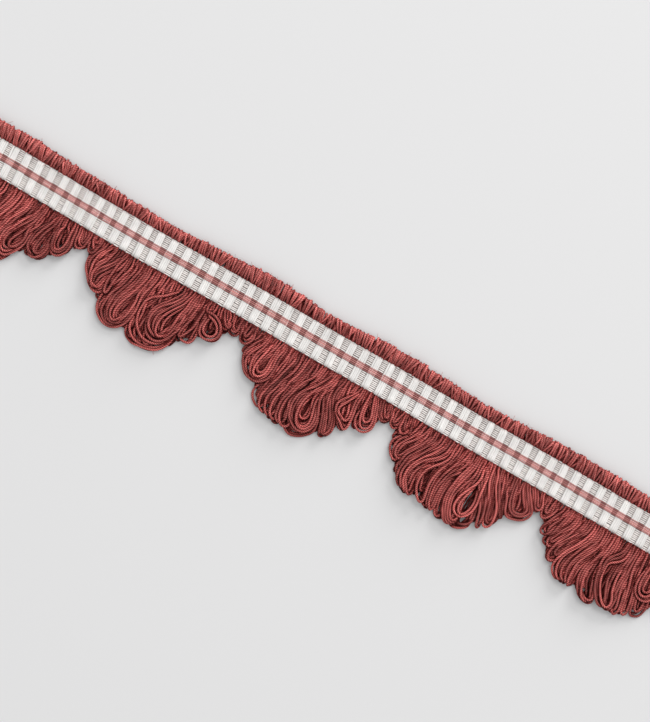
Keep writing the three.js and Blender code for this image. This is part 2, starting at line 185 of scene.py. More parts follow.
for selected in list(bpy.context.selected_objects):
    selected.select_set(False)
bpy.ops.mesh.primitive_grid_add(x_subdivisions=314, y_subdivisions=8, size=1.0)
ground = bpy.context.object
ground.name = "ground_cloth"
ground.scale = (2 * HALF_LENGTH * MM, 2 * BAND_HALF_WIDTH * MM, 1.0)
ground.location = (0.0, 0.0, GROUND_TOP * MM)
bpy.ops.object.transform_apply(location=True, scale=True)
for vertex in ground.data.vertices:
    vertex.co.y += float(band_middle(vertex.co.x / MM)) * MM
thickness = ground.modifiers.new("thickness", "SOLIDIFY")
thickness.thickness = GROUND_THICK * MM
thickness.offset = -1.0
bpy.ops.object.modifier_apply(modifier="thickness")
ground_map = ground.data.uv_layers.active
ground_map.name = "yarn"
GROUND_COLOUR = (0.3, 0.26, 0.25)
# The ground has no painted light value, so it shows its first colour all over; given the same colour twice,
# it carries no painted shade, and its last colour only tints its sheen.
ground_cotton = cotton_material(
    "dull_ground_cotton", painted_deep_shade=GROUND_COLOUR, body=GROUND_COLOUR, painted_light=(0.4, 0.35, 0.34)
)
ground.data.materials.clear()
ground.data.materials.append(ground_cotton)
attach(ground, "root")
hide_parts("woven_band")

# The pale warps: fine cotton threads that run along the whole band, seven above the stripe and eight
# below it. They show as thin level lines in the sunk columns between the ribs, and dive under each rib.
RIB_PITCH = 5.164
FIRST_RIB_X = -153.7
RIB_COUNT = 61
# How far the ribs lie from an even pitch, along the trim
RIB_WANDER = [
    (-156.7, -0.2), (-102.0, -0.2), (-91.0, -0.9), (-80.0, -1.4), (-70.0, -1.4), (-60.0, -0.7),
    (-46.0, 0.2), (-20.0, 0.0), (17.0, 0.6), (32.0, 0.3), (50.0, 0.9), (85.0, 0.9), (96.0, 0.4),
    (156.7, 0.6),
]
# For each side of the stripe: which side, how far out the first warp lies, and how many there are
PALE_WARP_SIDES = ((1, 1.95, 7), (-1, 1.25, 8))
PALE_WARP_PITCH = 0.68
PALE_WARP_WIDE = 0.28
PALE_WARP_HIGH = 0.24
PALE_WARP_HEIGHT = 1.3
PALE_WARP_DIVE = 0.3
# How far below the pale warps' top their painted shade is full
PALE_WARP_SHADE_DEPTH = 0.34
WARP_RING_STEP = 0.86
# The squares in which the topmost yarn is looked up, and how many squares round about count with one
TOP_SQUARE = 0.25
TOP_SPREAD = 2
# How far below the nearest top a yarn is painted in full shade, and the same painted shade for the wide
# pockets of a pile
PAINTED_SHADE_DEPTH = 0.85
POCKET_SPREAD = 9
POCKET_SHADE_SHARE = 1.3
POCKET_SHADE_DEPTH = 1.8
# How slim a yarn is where it leaves the band, and how far out it has its full thickness
ROOT_SLIM = 0.7
SLIM_REACH = 4.0
rng = np.random.default_rng(11)


def distances(line):
    """How far along the line each of its points lies."""
    return np.concatenate([[0.0], np.cumsum(np.linalg.norm(np.diff(line, axis=0), axis=1))])


def interpolated(stations, along, line):
    """The line's points at the given stations."""
    return np.stack([np.interp(stations, along, line[:, axis]) for axis in range(line.shape[1])], axis=1)


def even_count(line, count):
    """The line as a given number of points at even steps."""
    along = distances(line)
    return interpolated(np.linspace(0.0, along[-1], count), along, line)


def even_points(line, step, ease=0):
    """The line's points moved to even steps along it, then eased a number of times."""
    points = even_count(line, max(4, int(round(distances(line)[-1] / step)) + 1))
    for _ in range(ease):
        points[1:-1] = (points[:-2] + 2 * points[1:-1] + points[2:]) / 4
    return points


def carried_sides(lines, slopes, first_side):
    """A side direction at each point of each line, carried along the line without spinning."""
    longest = max(len(line) for line in lines)
    stacked = np.stack([
        np.concatenate([slope, np.repeat(slope[-1:], longest - len(slope), axis=0)]) for slope in slopes
    ])
    sides = np.zeros_like(stacked)
    side = np.broadcast_to(np.array(first_side, float), (len(lines), 3))
    for ring in range(longest):
        slope = stacked[:, ring]
        side = side - (side * slope).sum(axis=1)[:, None] * slope
        side = side / np.linalg.norm(side, axis=1)[:, None]
        sides[:, ring] = side
    return [sides[index, : len(line)] for index, line in enumerate(lines)]


def top_of(lines, thick):
    """How high the topmost yarn lies over each small square of the trim, and how high the yarns round that
    square lie on the whole, as a function of x and y."""
    points = np.concatenate(lines)
    low = points[:, :2].min(axis=0) - 2.0
    size = np.ceil((points[:, :2].max(axis=0) + 2.0 - low) / TOP_SQUARE).astype(int) + 1
    tops = np.zeros(size)
    at = ((points[:, :2] - low) / TOP_SQUARE).astype(int)
    np.maximum.at(tops, (at[:, 0], at[:, 1]), points[:, 2] + thick / 2)
    for _ in range(TOP_SPREAD):
        padded = np.pad(tops, 1, mode="edge")
        shifted = [padded[dx : dx + size[0], dy : dy + size[1]] for dx in range(3) for dy in range(3)]
        tops = np.max(shifted, axis=0)
    broad, covered = tops.copy(), (tops > 0).astype(float)
    shifts = range(-POCKET_SPREAD, POCKET_SPREAD + 1, 3)
    for axis in (0, 0, 1, 1):
        broad = sum(np.roll(broad, shift, axis) for shift in shifts)
        covered = sum(np.roll(covered, shift, axis) for shift in shifts)
    broad /= np.maximum(covered, 1.0)

    def height(x, y):
        place = ((np.stack([x, y], axis=1) - low) / TOP_SQUARE).astype(int)
        place = np.clip(place, 0, size - 1)
        return tops[place[:, 0], place[:, 1]], broad[place[:, 0], place[:, 1]]

    return height


def slim_at(x, y):
    """How far a yarn keeps its full thickness: where it leaves the band's edge it is squeezed slim."""
    out = np.abs(y - band_middle(x)) - BAND_HALF_WIDTH
    return np.clip(ROOT_SLIM + (1 - ROOT_SLIM) * out / SLIM_REACH, ROOT_SLIM, 1.0)


def yarn_piece(
    name,
    lines,
    wide,
    high,
    first_side,
    material,
    ply_groove=0.0,
    closed=False,
    top=None,
    painted_deep_shade=PAINTED_SHADE_DEPTH,
):
    """One mesh of all the yarns of a piece, each with six sides. ply_groove is how deep its plies part: the
    pattern of plies moves on by one side at each ring. Each yarn has a tone, and its map runs along and
    round it. Its painted light value, which paints shade and highlight on it, is 1 where it lies open on
    top and sinks to 0, full painted shade, at the given shade depth in millimetres below the nearest top;
    in a wide pocket of the pile it is painted darker still. Without a top it is 1 all over."""
    around = 2 * PLIES
    slopes = []
    for line in lines:
        if closed:
            slope = np.roll(line, -1, axis=0) - np.roll(line, 1, axis=0)
        else:
            slope = np.gradient(line, axis=0)
        slopes.append(slope / np.linalg.norm(slope, axis=1)[:, None])
    carried = carried_sides(lines, slopes, first_side)
    turn = math.tau * np.arange(around) / around
    points, triangles, maps, painted_light_values, tones = [], [], [], [], []
    start = 0
    for line, slope, side in zip(lines, slopes, carried):
        rings = len(line)
        up = np.cross(slope, side)
        shift = np.arange(rings)[:, None]
        ridge = 0.5 + 0.5 * np.cos(PLIES * (turn[None, :] - math.tau * shift / around))
        swell = 1.0 - ply_groove * (1.0 - ridge)
        if ply_groove > 0.0:
            swell = swell * slim_at(line[:, 0], line[:, 1])[:, None]
        spread = (
            side[:, None, :] * (wide * swell * np.cos(turn))[:, :, None]
            + up[:, None, :] * (high * swell * np.sin(turn))[:, :, None]
        )
        ring_points = (line[:, None, :] + spread).reshape(-1, 3)
        along = np.arange(rings + 1) * PLY_LENGTH / 2
        last = rings if closed else rings - 1
        ring, place = np.meshgrid(np.arange(last), np.arange(around), indexing="ij")
        ring, place = ring.ravel(), place.ravel()
        following, beside = (ring + 1) % rings, (place + 1) % around
        a = ring * around + place
        b = ring * around + beside
        c = following * around + beside
        d = following * around + place
        low_u, high_u = along[ring], along[ring + 1]
        low_v, high_v = place / around, (place + 1) / around
        faces = np.concatenate([np.stack([a, b, c], 1), np.stack([a, c, d], 1)])
        corners = np.concatenate([
            np.stack([low_u, low_v, low_u, high_v, high_u, high_v], 1),
            np.stack([low_u, low_v, high_u, high_v, high_u, low_v], 1),
        ])
        painted_light = np.ones(len(ring_points))
        # Painted shade: the painted light value sinks with the depth below the nearest top, and more in the
        # wide pockets of the pile
        if top is not None:
            near_top, broad_top = top(ring_points[:, 0], ring_points[:, 1])
            painted_light = np.clip(1.0 - (near_top - ring_points[:, 2]) / painted_deep_shade, 0.0, 1.0)
            painted_light *= np.clip(POCKET_SHADE_SHARE - (broad_top - ring_points[:, 2]) / POCKET_SHADE_DEPTH, 0.0, 1.0)
        if not closed:
            count = rings * around
            tips = np.stack([line[0] - slope[0] * high * 0.5, line[-1] + slope[-1] * high * 0.5])
            ring_points = np.concatenate([ring_points, tips])
            # The end caps take the full painted light value
            painted_light = np.append(painted_light, [1.0, 1.0])
            near, far = np.arange(around), np.arange(around) + (rings - 1) * around
            faces = np.concatenate([
                faces,
                np.stack([np.full(around, count), np.roll(near, -1), near], 1),
                np.stack([np.full(around, count + 1), far, np.roll(far, -1)], 1),
            ])
            corners = np.concatenate([
                corners, np.tile([0.0, 0.5], (around, 3)), np.tile([along[-2], 0.5], (around, 3))
            ])
        points.append(ring_points)
        triangles.append(faces + start)
        maps.append(corners)
        painted_light_values.append(painted_light)
        tones.append(np.full(len(ring_points), rng.normal()))
        start += len(ring_points)
    points, triangles = np.concatenate(points), np.concatenate(triangles)
    mesh = bpy.data.meshes.new(name)
    mesh.vertices.add(len(points))
    mesh.vertices.foreach_set("co", (points * MM).ravel())
    mesh.loops.add(3 * len(triangles))
    mesh.loops.foreach_set("vertex_index", triangles.ravel())
    mesh.polygons.add(len(triangles))
    mesh.polygons.foreach_set("loop_start", np.arange(0, 3 * len(triangles), 3))
    mesh.update(calc_edges=True)
    mesh.polygons.foreach_set("use_smooth", np.ones(len(triangles), bool))
    lie = mesh.uv_layers.new(name="yarn")
    lie.data.foreach_set("uv", np.concatenate(maps).ravel())
    # The painted light value, which paints shade and highlight, and the random tone of each yarn
    for label, values in (("painted_light", painted_light_values), ("tone", tones)):
        attribute = mesh.attributes.new(label, "FLOAT", "POINT")
        attribute.data.foreach_set("value", np.concatenate(values).astype(np.float32))
    mesh.materials.append(material)
    piece = bpy.data.objects.new(name, mesh)
    bpy.context.scene.collection.objects.link(piece)
    return piece


def rib_swell(along, sharp):
    """1 over the middle of each rib and 0 halfway between two ribs."""
    even = along - np.interp(along, *zip(*RIB_WANDER))
    return (0.5 + 0.5 * np.cos(math.tau * (even - FIRST_RIB_X) / RIB_PITCH)) ** sharp


def swaying(x, knot_step, sway):
    """A random wander from side to side along the trim."""
    return sway * np.interp(x, x[::knot_step], rng.normal(size=len(x[::knot_step])))


warp_x = np.arange(-HALF_LENGTH + 0.1, HALF_LENGTH - 0.05, WARP_RING_STEP)
pale_lines = []
for beside, first_off, count in PALE_WARP_SIDES:
    for place in range(count):
        off = beside * (first_off + PALE_WARP_PITCH * place)
        off += swaying(warp_x, 8, 0.05)
        height = PALE_WARP_HEIGHT - PALE_WARP_DIVE * rib_swell(warp_x, 0.8)
        pale_lines.append(np.stack([warp_x, band_middle(warp_x) + off, height], axis=1))
# The pale warps' colours are painted shade, own colour and painted highlight: each warp is painted lighter
# on its top and darker down its sides and where it dives under a rib, by its depth below one level top
pale_cotton = cotton_material(
    "pale_warp_cotton", painted_deep_shade=(0.62, 0.58, 0.56), body=(0.98, 0.92, 0.89), painted_light=(1.0, 0.96, 0.93)
)
pale_warps = yarn_piece(
    "pale_warps",
    pale_lines,
    PALE_WARP_WIDE,
    PALE_WARP_HIGH,
    (0, 1, 0),
    pale_cotton,
    top=lambda x, y: (PALE_WARP_HEIGHT + PALE_WARP_HIGH, 0.0),
    painted_deep_shade=PALE_WARP_SHADE_DEPTH,
)
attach(pale_warps, "root")

# The white ribs: four thick soft cotton picks to a rib, side by side. Each goes over the band's face,
# round both selvedges and back underneath, so the ribs stand up and stick out a little at the edges.
PICKS_A_RIB = 4
PICK_PITCH = 0.7
PICK_WIDE = 0.43
PICK_HIGH = 0.36
PICK_TOP = 1.62
PICK_BOTTOM = 0.4
PICK_CROWN = 0.12
# How far below the picks' top their painted shade is full
PICK_SHADE_DEPTH = 0.9
PICK_STICK_OUT = -0.1
RIB_LEAN = -0.045
RIB_SLANT = 0.02
PICK_RING_STEP = 0.75


def pick_ring(rib_x, off, slant, crown, reach):
    """One pick as a closed flat ring round the band, in the plane across it."""
    half = BAND_HALF_WIDTH + reach
    top = PICK_TOP + crown
    middle = (top + PICK_BOTTOM) / 2
    turn = np.linspace(-math.pi / 2, math.pi / 2, 9)
    bend = (top - PICK_BOTTOM) / 2
    right = np.stack([half - bend + bend * np.cos(turn), middle + bend * np.sin(turn)], axis=1)
    left = np.stack([-half + bend - bend * np.cos(turn), middle - bend * np.sin(turn)], axis=1)
    across = np.concatenate([right, left, right[:1]])
    x = rib_x + off + slant * across[:, 0]
    line = np.stack([x, band_middle(x) + across[:, 0], across[:, 1]], axis=1)
    return even_points(line, PICK_RING_STEP)[:-1]


pick_lines = []
rib_slants = RIB_LEAN + rng.normal(size=RIB_COUNT) * RIB_SLANT
rib_middles = FIRST_RIB_X + RIB_PITCH * np.arange(RIB_COUNT)
rib_middles += np.interp(rib_middles, *zip(*RIB_WANDER)) + rng.normal(size=RIB_COUNT) * 0.07
for rib in range(RIB_COUNT):
    rib_x = rib_middles[rib]
    for place in range(PICKS_A_RIB):
        off = (place - (PICKS_A_RIB - 1) / 2) * PICK_PITCH + rng.normal() * 0.03
        slant = rib_slants[rib] + rng.normal() * 0.008
        crown = PICK_CROWN if 0 < place < PICKS_A_RIB - 1 else 0.0
        reach = PICK_STICK_OUT + rng.normal() * 0.06
        ring = pick_ring(rib_x, off, slant, crown + rng.normal() * 0.02, reach)
        if np.abs(ring[:, 0]).max() < HALF_LENGTH - PICK_WIDE:
            pick_lines.append(ring)
# The white ribs' colours are painted shade, own colour and painted highlight: each pick is painted lighter
# on its top and darker down its sides, between the picks and underneath, by its depth below one level top
white_cotton = cotton_material(
    "soft_white_cotton", painted_deep_shade=(0.56, 0.53, 0.51), body=(0.86, 0.84, 0.82), painted_light=(0.97, 0.95, 0.93)
)
white_ribs = yarn_piece(
    "white_ribs",
    pick_lines,
    PICK_WIDE,
    PICK_HIGH,
    (1, 0, 0),
    white_cotton,
    closed=True,
    top=lambda x, y: (PICK_TOP + PICK_HIGH, 0.0),
    painted_deep_shade=PICK_SHADE_DEPTH,
)
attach(white_ribs, "root")

# The stripe: four terracotta warps along the band's middle. Between the ribs they lie open, and are painted
# dark with painted shade. Over each rib they rise and fall with the picks, and their tops are painted pale
# pink as a painted highlight.
STRIPE_WARPS = 4
STRIPE_WARP_PITCH = 0.62
STRIPE_WARP_WIDE = 0.27
STRIPE_WARP_HIGH = 0.17
STRIPE_OFF_MIDDLE = 0.38
STRIPE_OVER = 2.2
STRIPE_UNDER = 1.92
STRIPE_BETWEEN = 1.45
# How much more painted shade the warps get between the ribs, and how far below their top it is full
STRIPE_PAINTED_SHADE = 0.075
STRIPE_SHADE_DEPTH = 0.24
STRIPE_RING_STEP = 0.26
stripe_x = np.arange(-HALF_LENGTH + 0.1, HALF_LENGTH - 0.05, STRIPE_RING_STEP)
rib_of = np.abs(stripe_x[:, None] - rib_middles[None, :]).argmin(axis=1)
from_rib = stripe_x - rib_middles[rib_of]
pick_of = from_rib / PICK_PITCH + (PICKS_A_RIB - 1) / 2
in_rib = (pick_of > -0.5) & (pick_of < PICKS_A_RIB - 0.5)
stripe_lines = []
for place in range(STRIPE_WARPS):
    off = STRIPE_OFF_MIDDLE + (place - (STRIPE_WARPS - 1) / 2) * STRIPE_WARP_PITCH
    wave = 0.5 + 0.5 * np.cos(math.tau * pick_of)
    over_rib = STRIPE_UNDER + (STRIPE_OVER - STRIPE_UNDER) * wave
    height = np.where(in_rib, over_rib, STRIPE_BETWEEN)
    height = np.convolve(np.pad(height, 1, mode="edge"), [0.25, 0.5, 0.25], mode="valid")
    off += swaying(stripe_x, 14, 0.04)
    stripe_lines.append(np.stack([stripe_x, band_middle(stripe_x) + off, height], axis=1))
# The top that the stripe's painted shade is measured from: raised between the ribs, so the warps there are
# painted darker
stripe_shade_top = height + np.where(in_rib, 0.0, STRIPE_PAINTED_SHADE) + STRIPE_WARP_HIGH
# Painted shade deep down, and a pale pink painted highlight on the tops over the ribs
stripe_cotton = cotton_material(
    "stripe_cotton",
    painted_deep_shade=(0.05, 0.004, 0.004),
    body=(0.44, 0.14, 0.13),
    painted_light=(0.84, 0.47, 0.44),
    uneven=0.22,
)
stripe = yarn_piece(
    "stripe_warps",
    stripe_lines,
    STRIPE_WARP_WIDE,
    STRIPE_WARP_HIGH,
    (0, 1, 0),
    stripe_cotton,
    top=lambda x, y: (np.interp(x, stripe_x, stripe_shade_top), 0.0),
    painted_deep_shade=STRIPE_SHADE_DEPTH,
)
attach(stripe, "root")

# The heading: the terracotta yarn turned over past the band's upper edge in short upright loops. Eight
# stand over each rib, pinched where they leave it, which leaves a dark notch between two bunches. Eight
# more lie lower, between and under them, and all of them lean a little every way.
YARN_RADIUS = 0.5
HEADING_YARN_RADIUS = 0.42
# For the lower and the upper loops: how many to a rib, half the spread of their roots and of their tips,
# and their share of the reach and of the height
LOOP_ROWS = {
    "heading_lower_loops": (8, 2.3, 2.35, 1.1, 0.78),
    "heading_loops": (8, 1.75, 2.5, 1.1, 1.0),
}
HEADING_RING_STEP = 0.42
# How far below the nearest top the heading's painted shade is full
HEADING_SHADE_DEPTH = 1.4
PLY_GROOVE = 0.14
HEADING_REACH = [
    (-156.7, 5.1), (-141.0, 5.4), (-100.0, 4.6), (-67.5, 3.9), (-37.5, 5.3), (-24.0, 5.6), (-4.4, 4.1),
    (21.0, 5.5), (30.0, 5.5), (60.4, 3.9), (99.0, 5.5), (130.0, 4.7), (156.7, 5.0),
]
# The side of one loop, from the band's edge outwards and back underneath: share of the reach, height
HEADING_LOOP = [
    (-0.03, 1.2), (0.03, 1.4), (0.12, 1.9), (0.3, 2.4), (0.55, 2.6), (0.78, 2.55), (0.94, 2.15),
    (1.0, 1.5), (0.94, 0.95), (0.78, 0.62), (0.5, 0.5), (0.2, 0.5), (0.0, 0.55),
]
# The height of the band's edge, from which painted shade is laid on the roots of the loops that come out
# under it
BAND_EDGE_TOP = 1.45
SETTLE_STEP = 0.6
# How near two settled yarns come, as a share of their radius
PACKED = 1.9
# In one round of settling: the share of an overlap, of a stretch and of a kink that is put right, how
# often the near yarns are looked up anew, and how far round a yarn
PUSH_SHARE = 0.75
MEND_SHARE = 0.4
EASE_SHARE = 0.25
LOOK_UP_EVERY = 6
LOOK_UP_REACH = 1.25
# How much the bunches and the single loops lean to either side, in millimetres at their tips
BUNCH_LEAN = 0.3
LOOP_LEAN = 1.05


def near_pairs(points, yarn, order_in_yarn, reach):
    """Pairs of points of the yarns that lie within reach, left out where they are neighbours in a yarn."""
    cell = np.floor(points / reach).astype(np.int64)
    cell -= cell.min(axis=0)
    size = cell.max(axis=0) + 3
    key = (cell[:, 0] * size[1] + cell[:, 1]) * size[2] + cell[:, 2]
    order = np.argsort(key, kind="stable")
    sorted_key = key[order]
    found = []
    for dx, dy, dz in ((x, y, z) for x in (0, 1) for y in (-1, 0, 1) for z in (-1, 0, 1)):
        if (dx, dy, dz) < (0, 0, 0):
            continue
        other = key + (dx * size[1] + dy) * size[2] + dz
        low = np.searchsorted(sorted_key, other, "left")
        count = np.searchsorted(sorted_key, other, "right") - low
        first = np.repeat(np.arange(len(points)), count)
        run = np.arange(count.sum()) - np.repeat(np.cumsum(count) - count, count)
        second = order[np.repeat(low, count) + run]
        if (dx, dy, dz) == (0, 0, 0):
            first, second = first[first < second], second[first < second]
        near = ((points[first] - points[second]) ** 2).sum(axis=1) < reach**2
        same = (yarn[first] == yarn[second]) & (np.abs(order_in_yarn[first] - order_in_yarn[second]) <= 3)
        found.append(np.stack([first[near & ~same], second[near & ~same]]))
    return np.concatenate(found, axis=1)


def band_edge(side):
    """The band's edge as a line of points, on the heading's side (1) or on the fringe's side (-1), which
    lays painted shade on the yarns' roots beside it.
    """
    x = np.arange(-HALF_LENGTH, HALF_LENGTH, TOP_SQUARE)
    return np.stack([x, band_middle(x) + side * BAND_HALF_WIDTH, np.full(len(x), BAND_EDGE_TOP)], axis=1)


def settled(lines, thick, rounds, hold, weight, fixed_ends=2):
    """The yarns laid down on the table: they push each other apart, keep their length and stay smooth.
    hold draws each point to its place as laid, seen from above, and weight draws it down."""
    points = np.concatenate(lines)
    yarn = np.concatenate([np.full(len(line), index) for index, line in enumerate(lines)])
    ordinal = np.concatenate([np.arange(len(line)) for line in lines])
    from_end = np.concatenate([np.arange(len(line))[::-1] for line in lines])
    free = ((ordinal >= fixed_ends) & (from_end >= fixed_ends)).astype(float)[:, None]
    laid = points.copy()
    link = np.nonzero(yarn[1:] == yarn[:-1])[0]
    rest = np.linalg.norm(points[link + 1] - points[link], axis=1)
    inner = np.nonzero(yarn[2:] == yarn[:-2])[0] + 1
    for turn in range(rounds):
        if turn % LOOK_UP_EVERY == 0:
            pair = near_pairs(points, yarn, ordinal, thick * LOOK_UP_REACH)
            slim = thick * slim_at(points[:, 0], points[:, 1])
            room = (slim[pair[0]] + slim[pair[1]]) / 2
        gap = points[pair[0]] - points[pair[1]]
        apart = np.linalg.norm(gap, axis=1) + 1e-9
        hit = apart < room
        first, second = pair[0][hit], pair[1][hit]
        push = gap[hit] * (PUSH_SHARE * (room[hit] - apart[hit]) / apart[hit])[:, None]
        move = np.stack([
            np.bincount(first, push[:, axis], len(points)) - np.bincount(second, push[:, axis], len(points))
            for axis in range(3)
        ], axis=1)
        touches = np.bincount(first, minlength=len(points)) + np.bincount(second, minlength=len(points))
        points += free * move / np.maximum(touches, 1)[:, None]
        step = points[link + 1] - points[link]
        length = np.linalg.norm(step, axis=1) + 1e-9
        mend = step * (MEND_SHARE * (length - rest) / length)[:, None]
        drawn = np.zeros_like(points)
        drawn[link] += mend
        drawn[link + 1] -= mend
        points += free * drawn
        bend = (points[inner - 1] + points[inner + 1]) / 2 - points[inner]
        points[inner] += free[inner] * bend * EASE_SHARE
        points[:, :2] += free * (laid - points)[:, :2] * hold
        points[:, 2:] -= free * weight
        points[:, 2] = np.maximum(points[:, 2], slim / 2)
    starts = np.concatenate([[0], np.nonzero(yarn[1:] != yarn[:-1])[0] + 1, [len(points)]])
    return [points[low:high] for low, high in zip(starts[:-1], starts[1:])]


heading_lines, heading_owner = [], []
reach_x, reach_out = zip(*HEADING_REACH)
heading_side = np.array(HEADING_LOOP)
for rib_x in rib_middles:
    bunch_lean = rng.normal() * BUNCH_LEAN + RIB_LEAN * BAND_HALF_WIDTH
    bunch_swell = 1.0 + rng.normal() * 0.03
    for row, (count, root_spread, tip_spread, row_reach, row_height) in LOOP_ROWS.items():
        for place in range(count):
            share = 2.0 * place / (count - 1) - 1.0
            lean = bunch_lean + rng.normal() * LOOP_LEAN
            reach = row_reach * np.interp(rib_x, reach_x, reach_out) * bunch_swell + rng.normal() * 0.16
            reach -= 0.2 * share**2
            out = heading_side[:, 0]
            swing = np.clip(out, 0, 1) ** 0.8
            x = rib_x + share * (root_spread + (tip_spread - root_spread) * swing)
            x += lean * swing + RIB_LEAN * BAND_HALF_WIDTH + np.linspace(-0.4, 0.4, len(out)) * rng.normal()
            x_limit = HALF_LENGTH - HEADING_YARN_RADIUS
            x = np.clip(x, -x_limit, x_limit)
            height = heading_side[:, 1] * row_height - (0.35 if place % 2 else 0.0) * (1 - swing)
            line = np.stack([x, band_middle(x) + BAND_HALF_WIDTH + out * reach, height], axis=1)
            heading_lines.append(even_points(line, SETTLE_STEP, ease=1))
            heading_owner.append(row)
heading_lines = settled(heading_lines, PACKED * HEADING_YARN_RADIUS, rounds=60, hold=0.12, weight=0.0)
heading_lines = [even_points(line, HEADING_RING_STEP, ease=1) for line in heading_lines]
# The terracotta yarn: its darkest colour is painted shade deep in the pile and between its plies, its
# lightest a painted highlight where it lies open on top
terracotta_cotton = cotton_material(
    "terracotta_yarn_cotton",
    painted_deep_shade=(0.05, 0.002, 0.002),
    body=(0.66, 0.075, 0.067),
    painted_light=(1.0, 0.42, 0.38),
    uneven=0.22,
    patchy=0.2,
    ply_shade_and_bump=0.9,
)
# The heading is the same terracotta yarn as the fringe, given a lit copy of its material: painted lighter,
# with a lighter painted shade and a paler painted highlight
heading_cotton = cotton_material(
    "heading_yarn_cotton",
    painted_deep_shade=(0.1, 0.004, 0.004),
    body=(0.76, 0.12, 0.11),
    painted_light=(1.0, 0.45, 0.41),
    uneven=0.2,
    patchy=0.16,
    ply_shade_and_bump=0.7,
)
# Painted shade on the heading: the band's edge counts as a top, so the loops' roots under it are painted
# dark
heading_top = top_of(heading_lines + [band_edge(1)], 2 * HEADING_YARN_RADIUS)
for row in LOOP_ROWS:
    heading = yarn_piece(
        row,
        [line for line, owner in zip(heading_lines, heading_owner) if owner == row],
        HEADING_YARN_RADIUS,
        HEADING_YARN_RADIUS,
        (1, 0, 0),
        heading_cotton,
        ply_groove=PLY_GROOVE,
        top=heading_top,
        painted_deep_shade=HEADING_SHADE_DEPTH,
    )
    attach(heading, "root")
    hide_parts("looped_heading")

# The fringe: long terracotta loops that hang from the band's lower edge and lie as they fell. Their
# length rises and falls five times along the trim, and each of these scallops is a piece of its own.
FAN_LOOPS = 58
FAN_PULL = 0.9
# The heights that the lower loops and the locks over them are laid down from
FAN_LEVELS = (0.7, 1.8, 2.9)
LOCK_LEVELS = (4.0, 5.6, 7.0, 8.2)
FRINGE_RING_STEP = 0.4
STAGGER = 1.1
LEG_APART = 0.4
ROOT_UNDER_BAND = 0.2
ROOT_HEIGHTS = (0.6, 0.9, 1.15)
ROOT_RISE = 6.0
LOOP_TURN_POINTS = 60
LOCK_POINTS = 90
LOCK_WANDER = 0.28
LOCK_SHIFT = 0.35
LOCK_SPREAD = 0.5
LOCK_REACH_MORE = 0.45

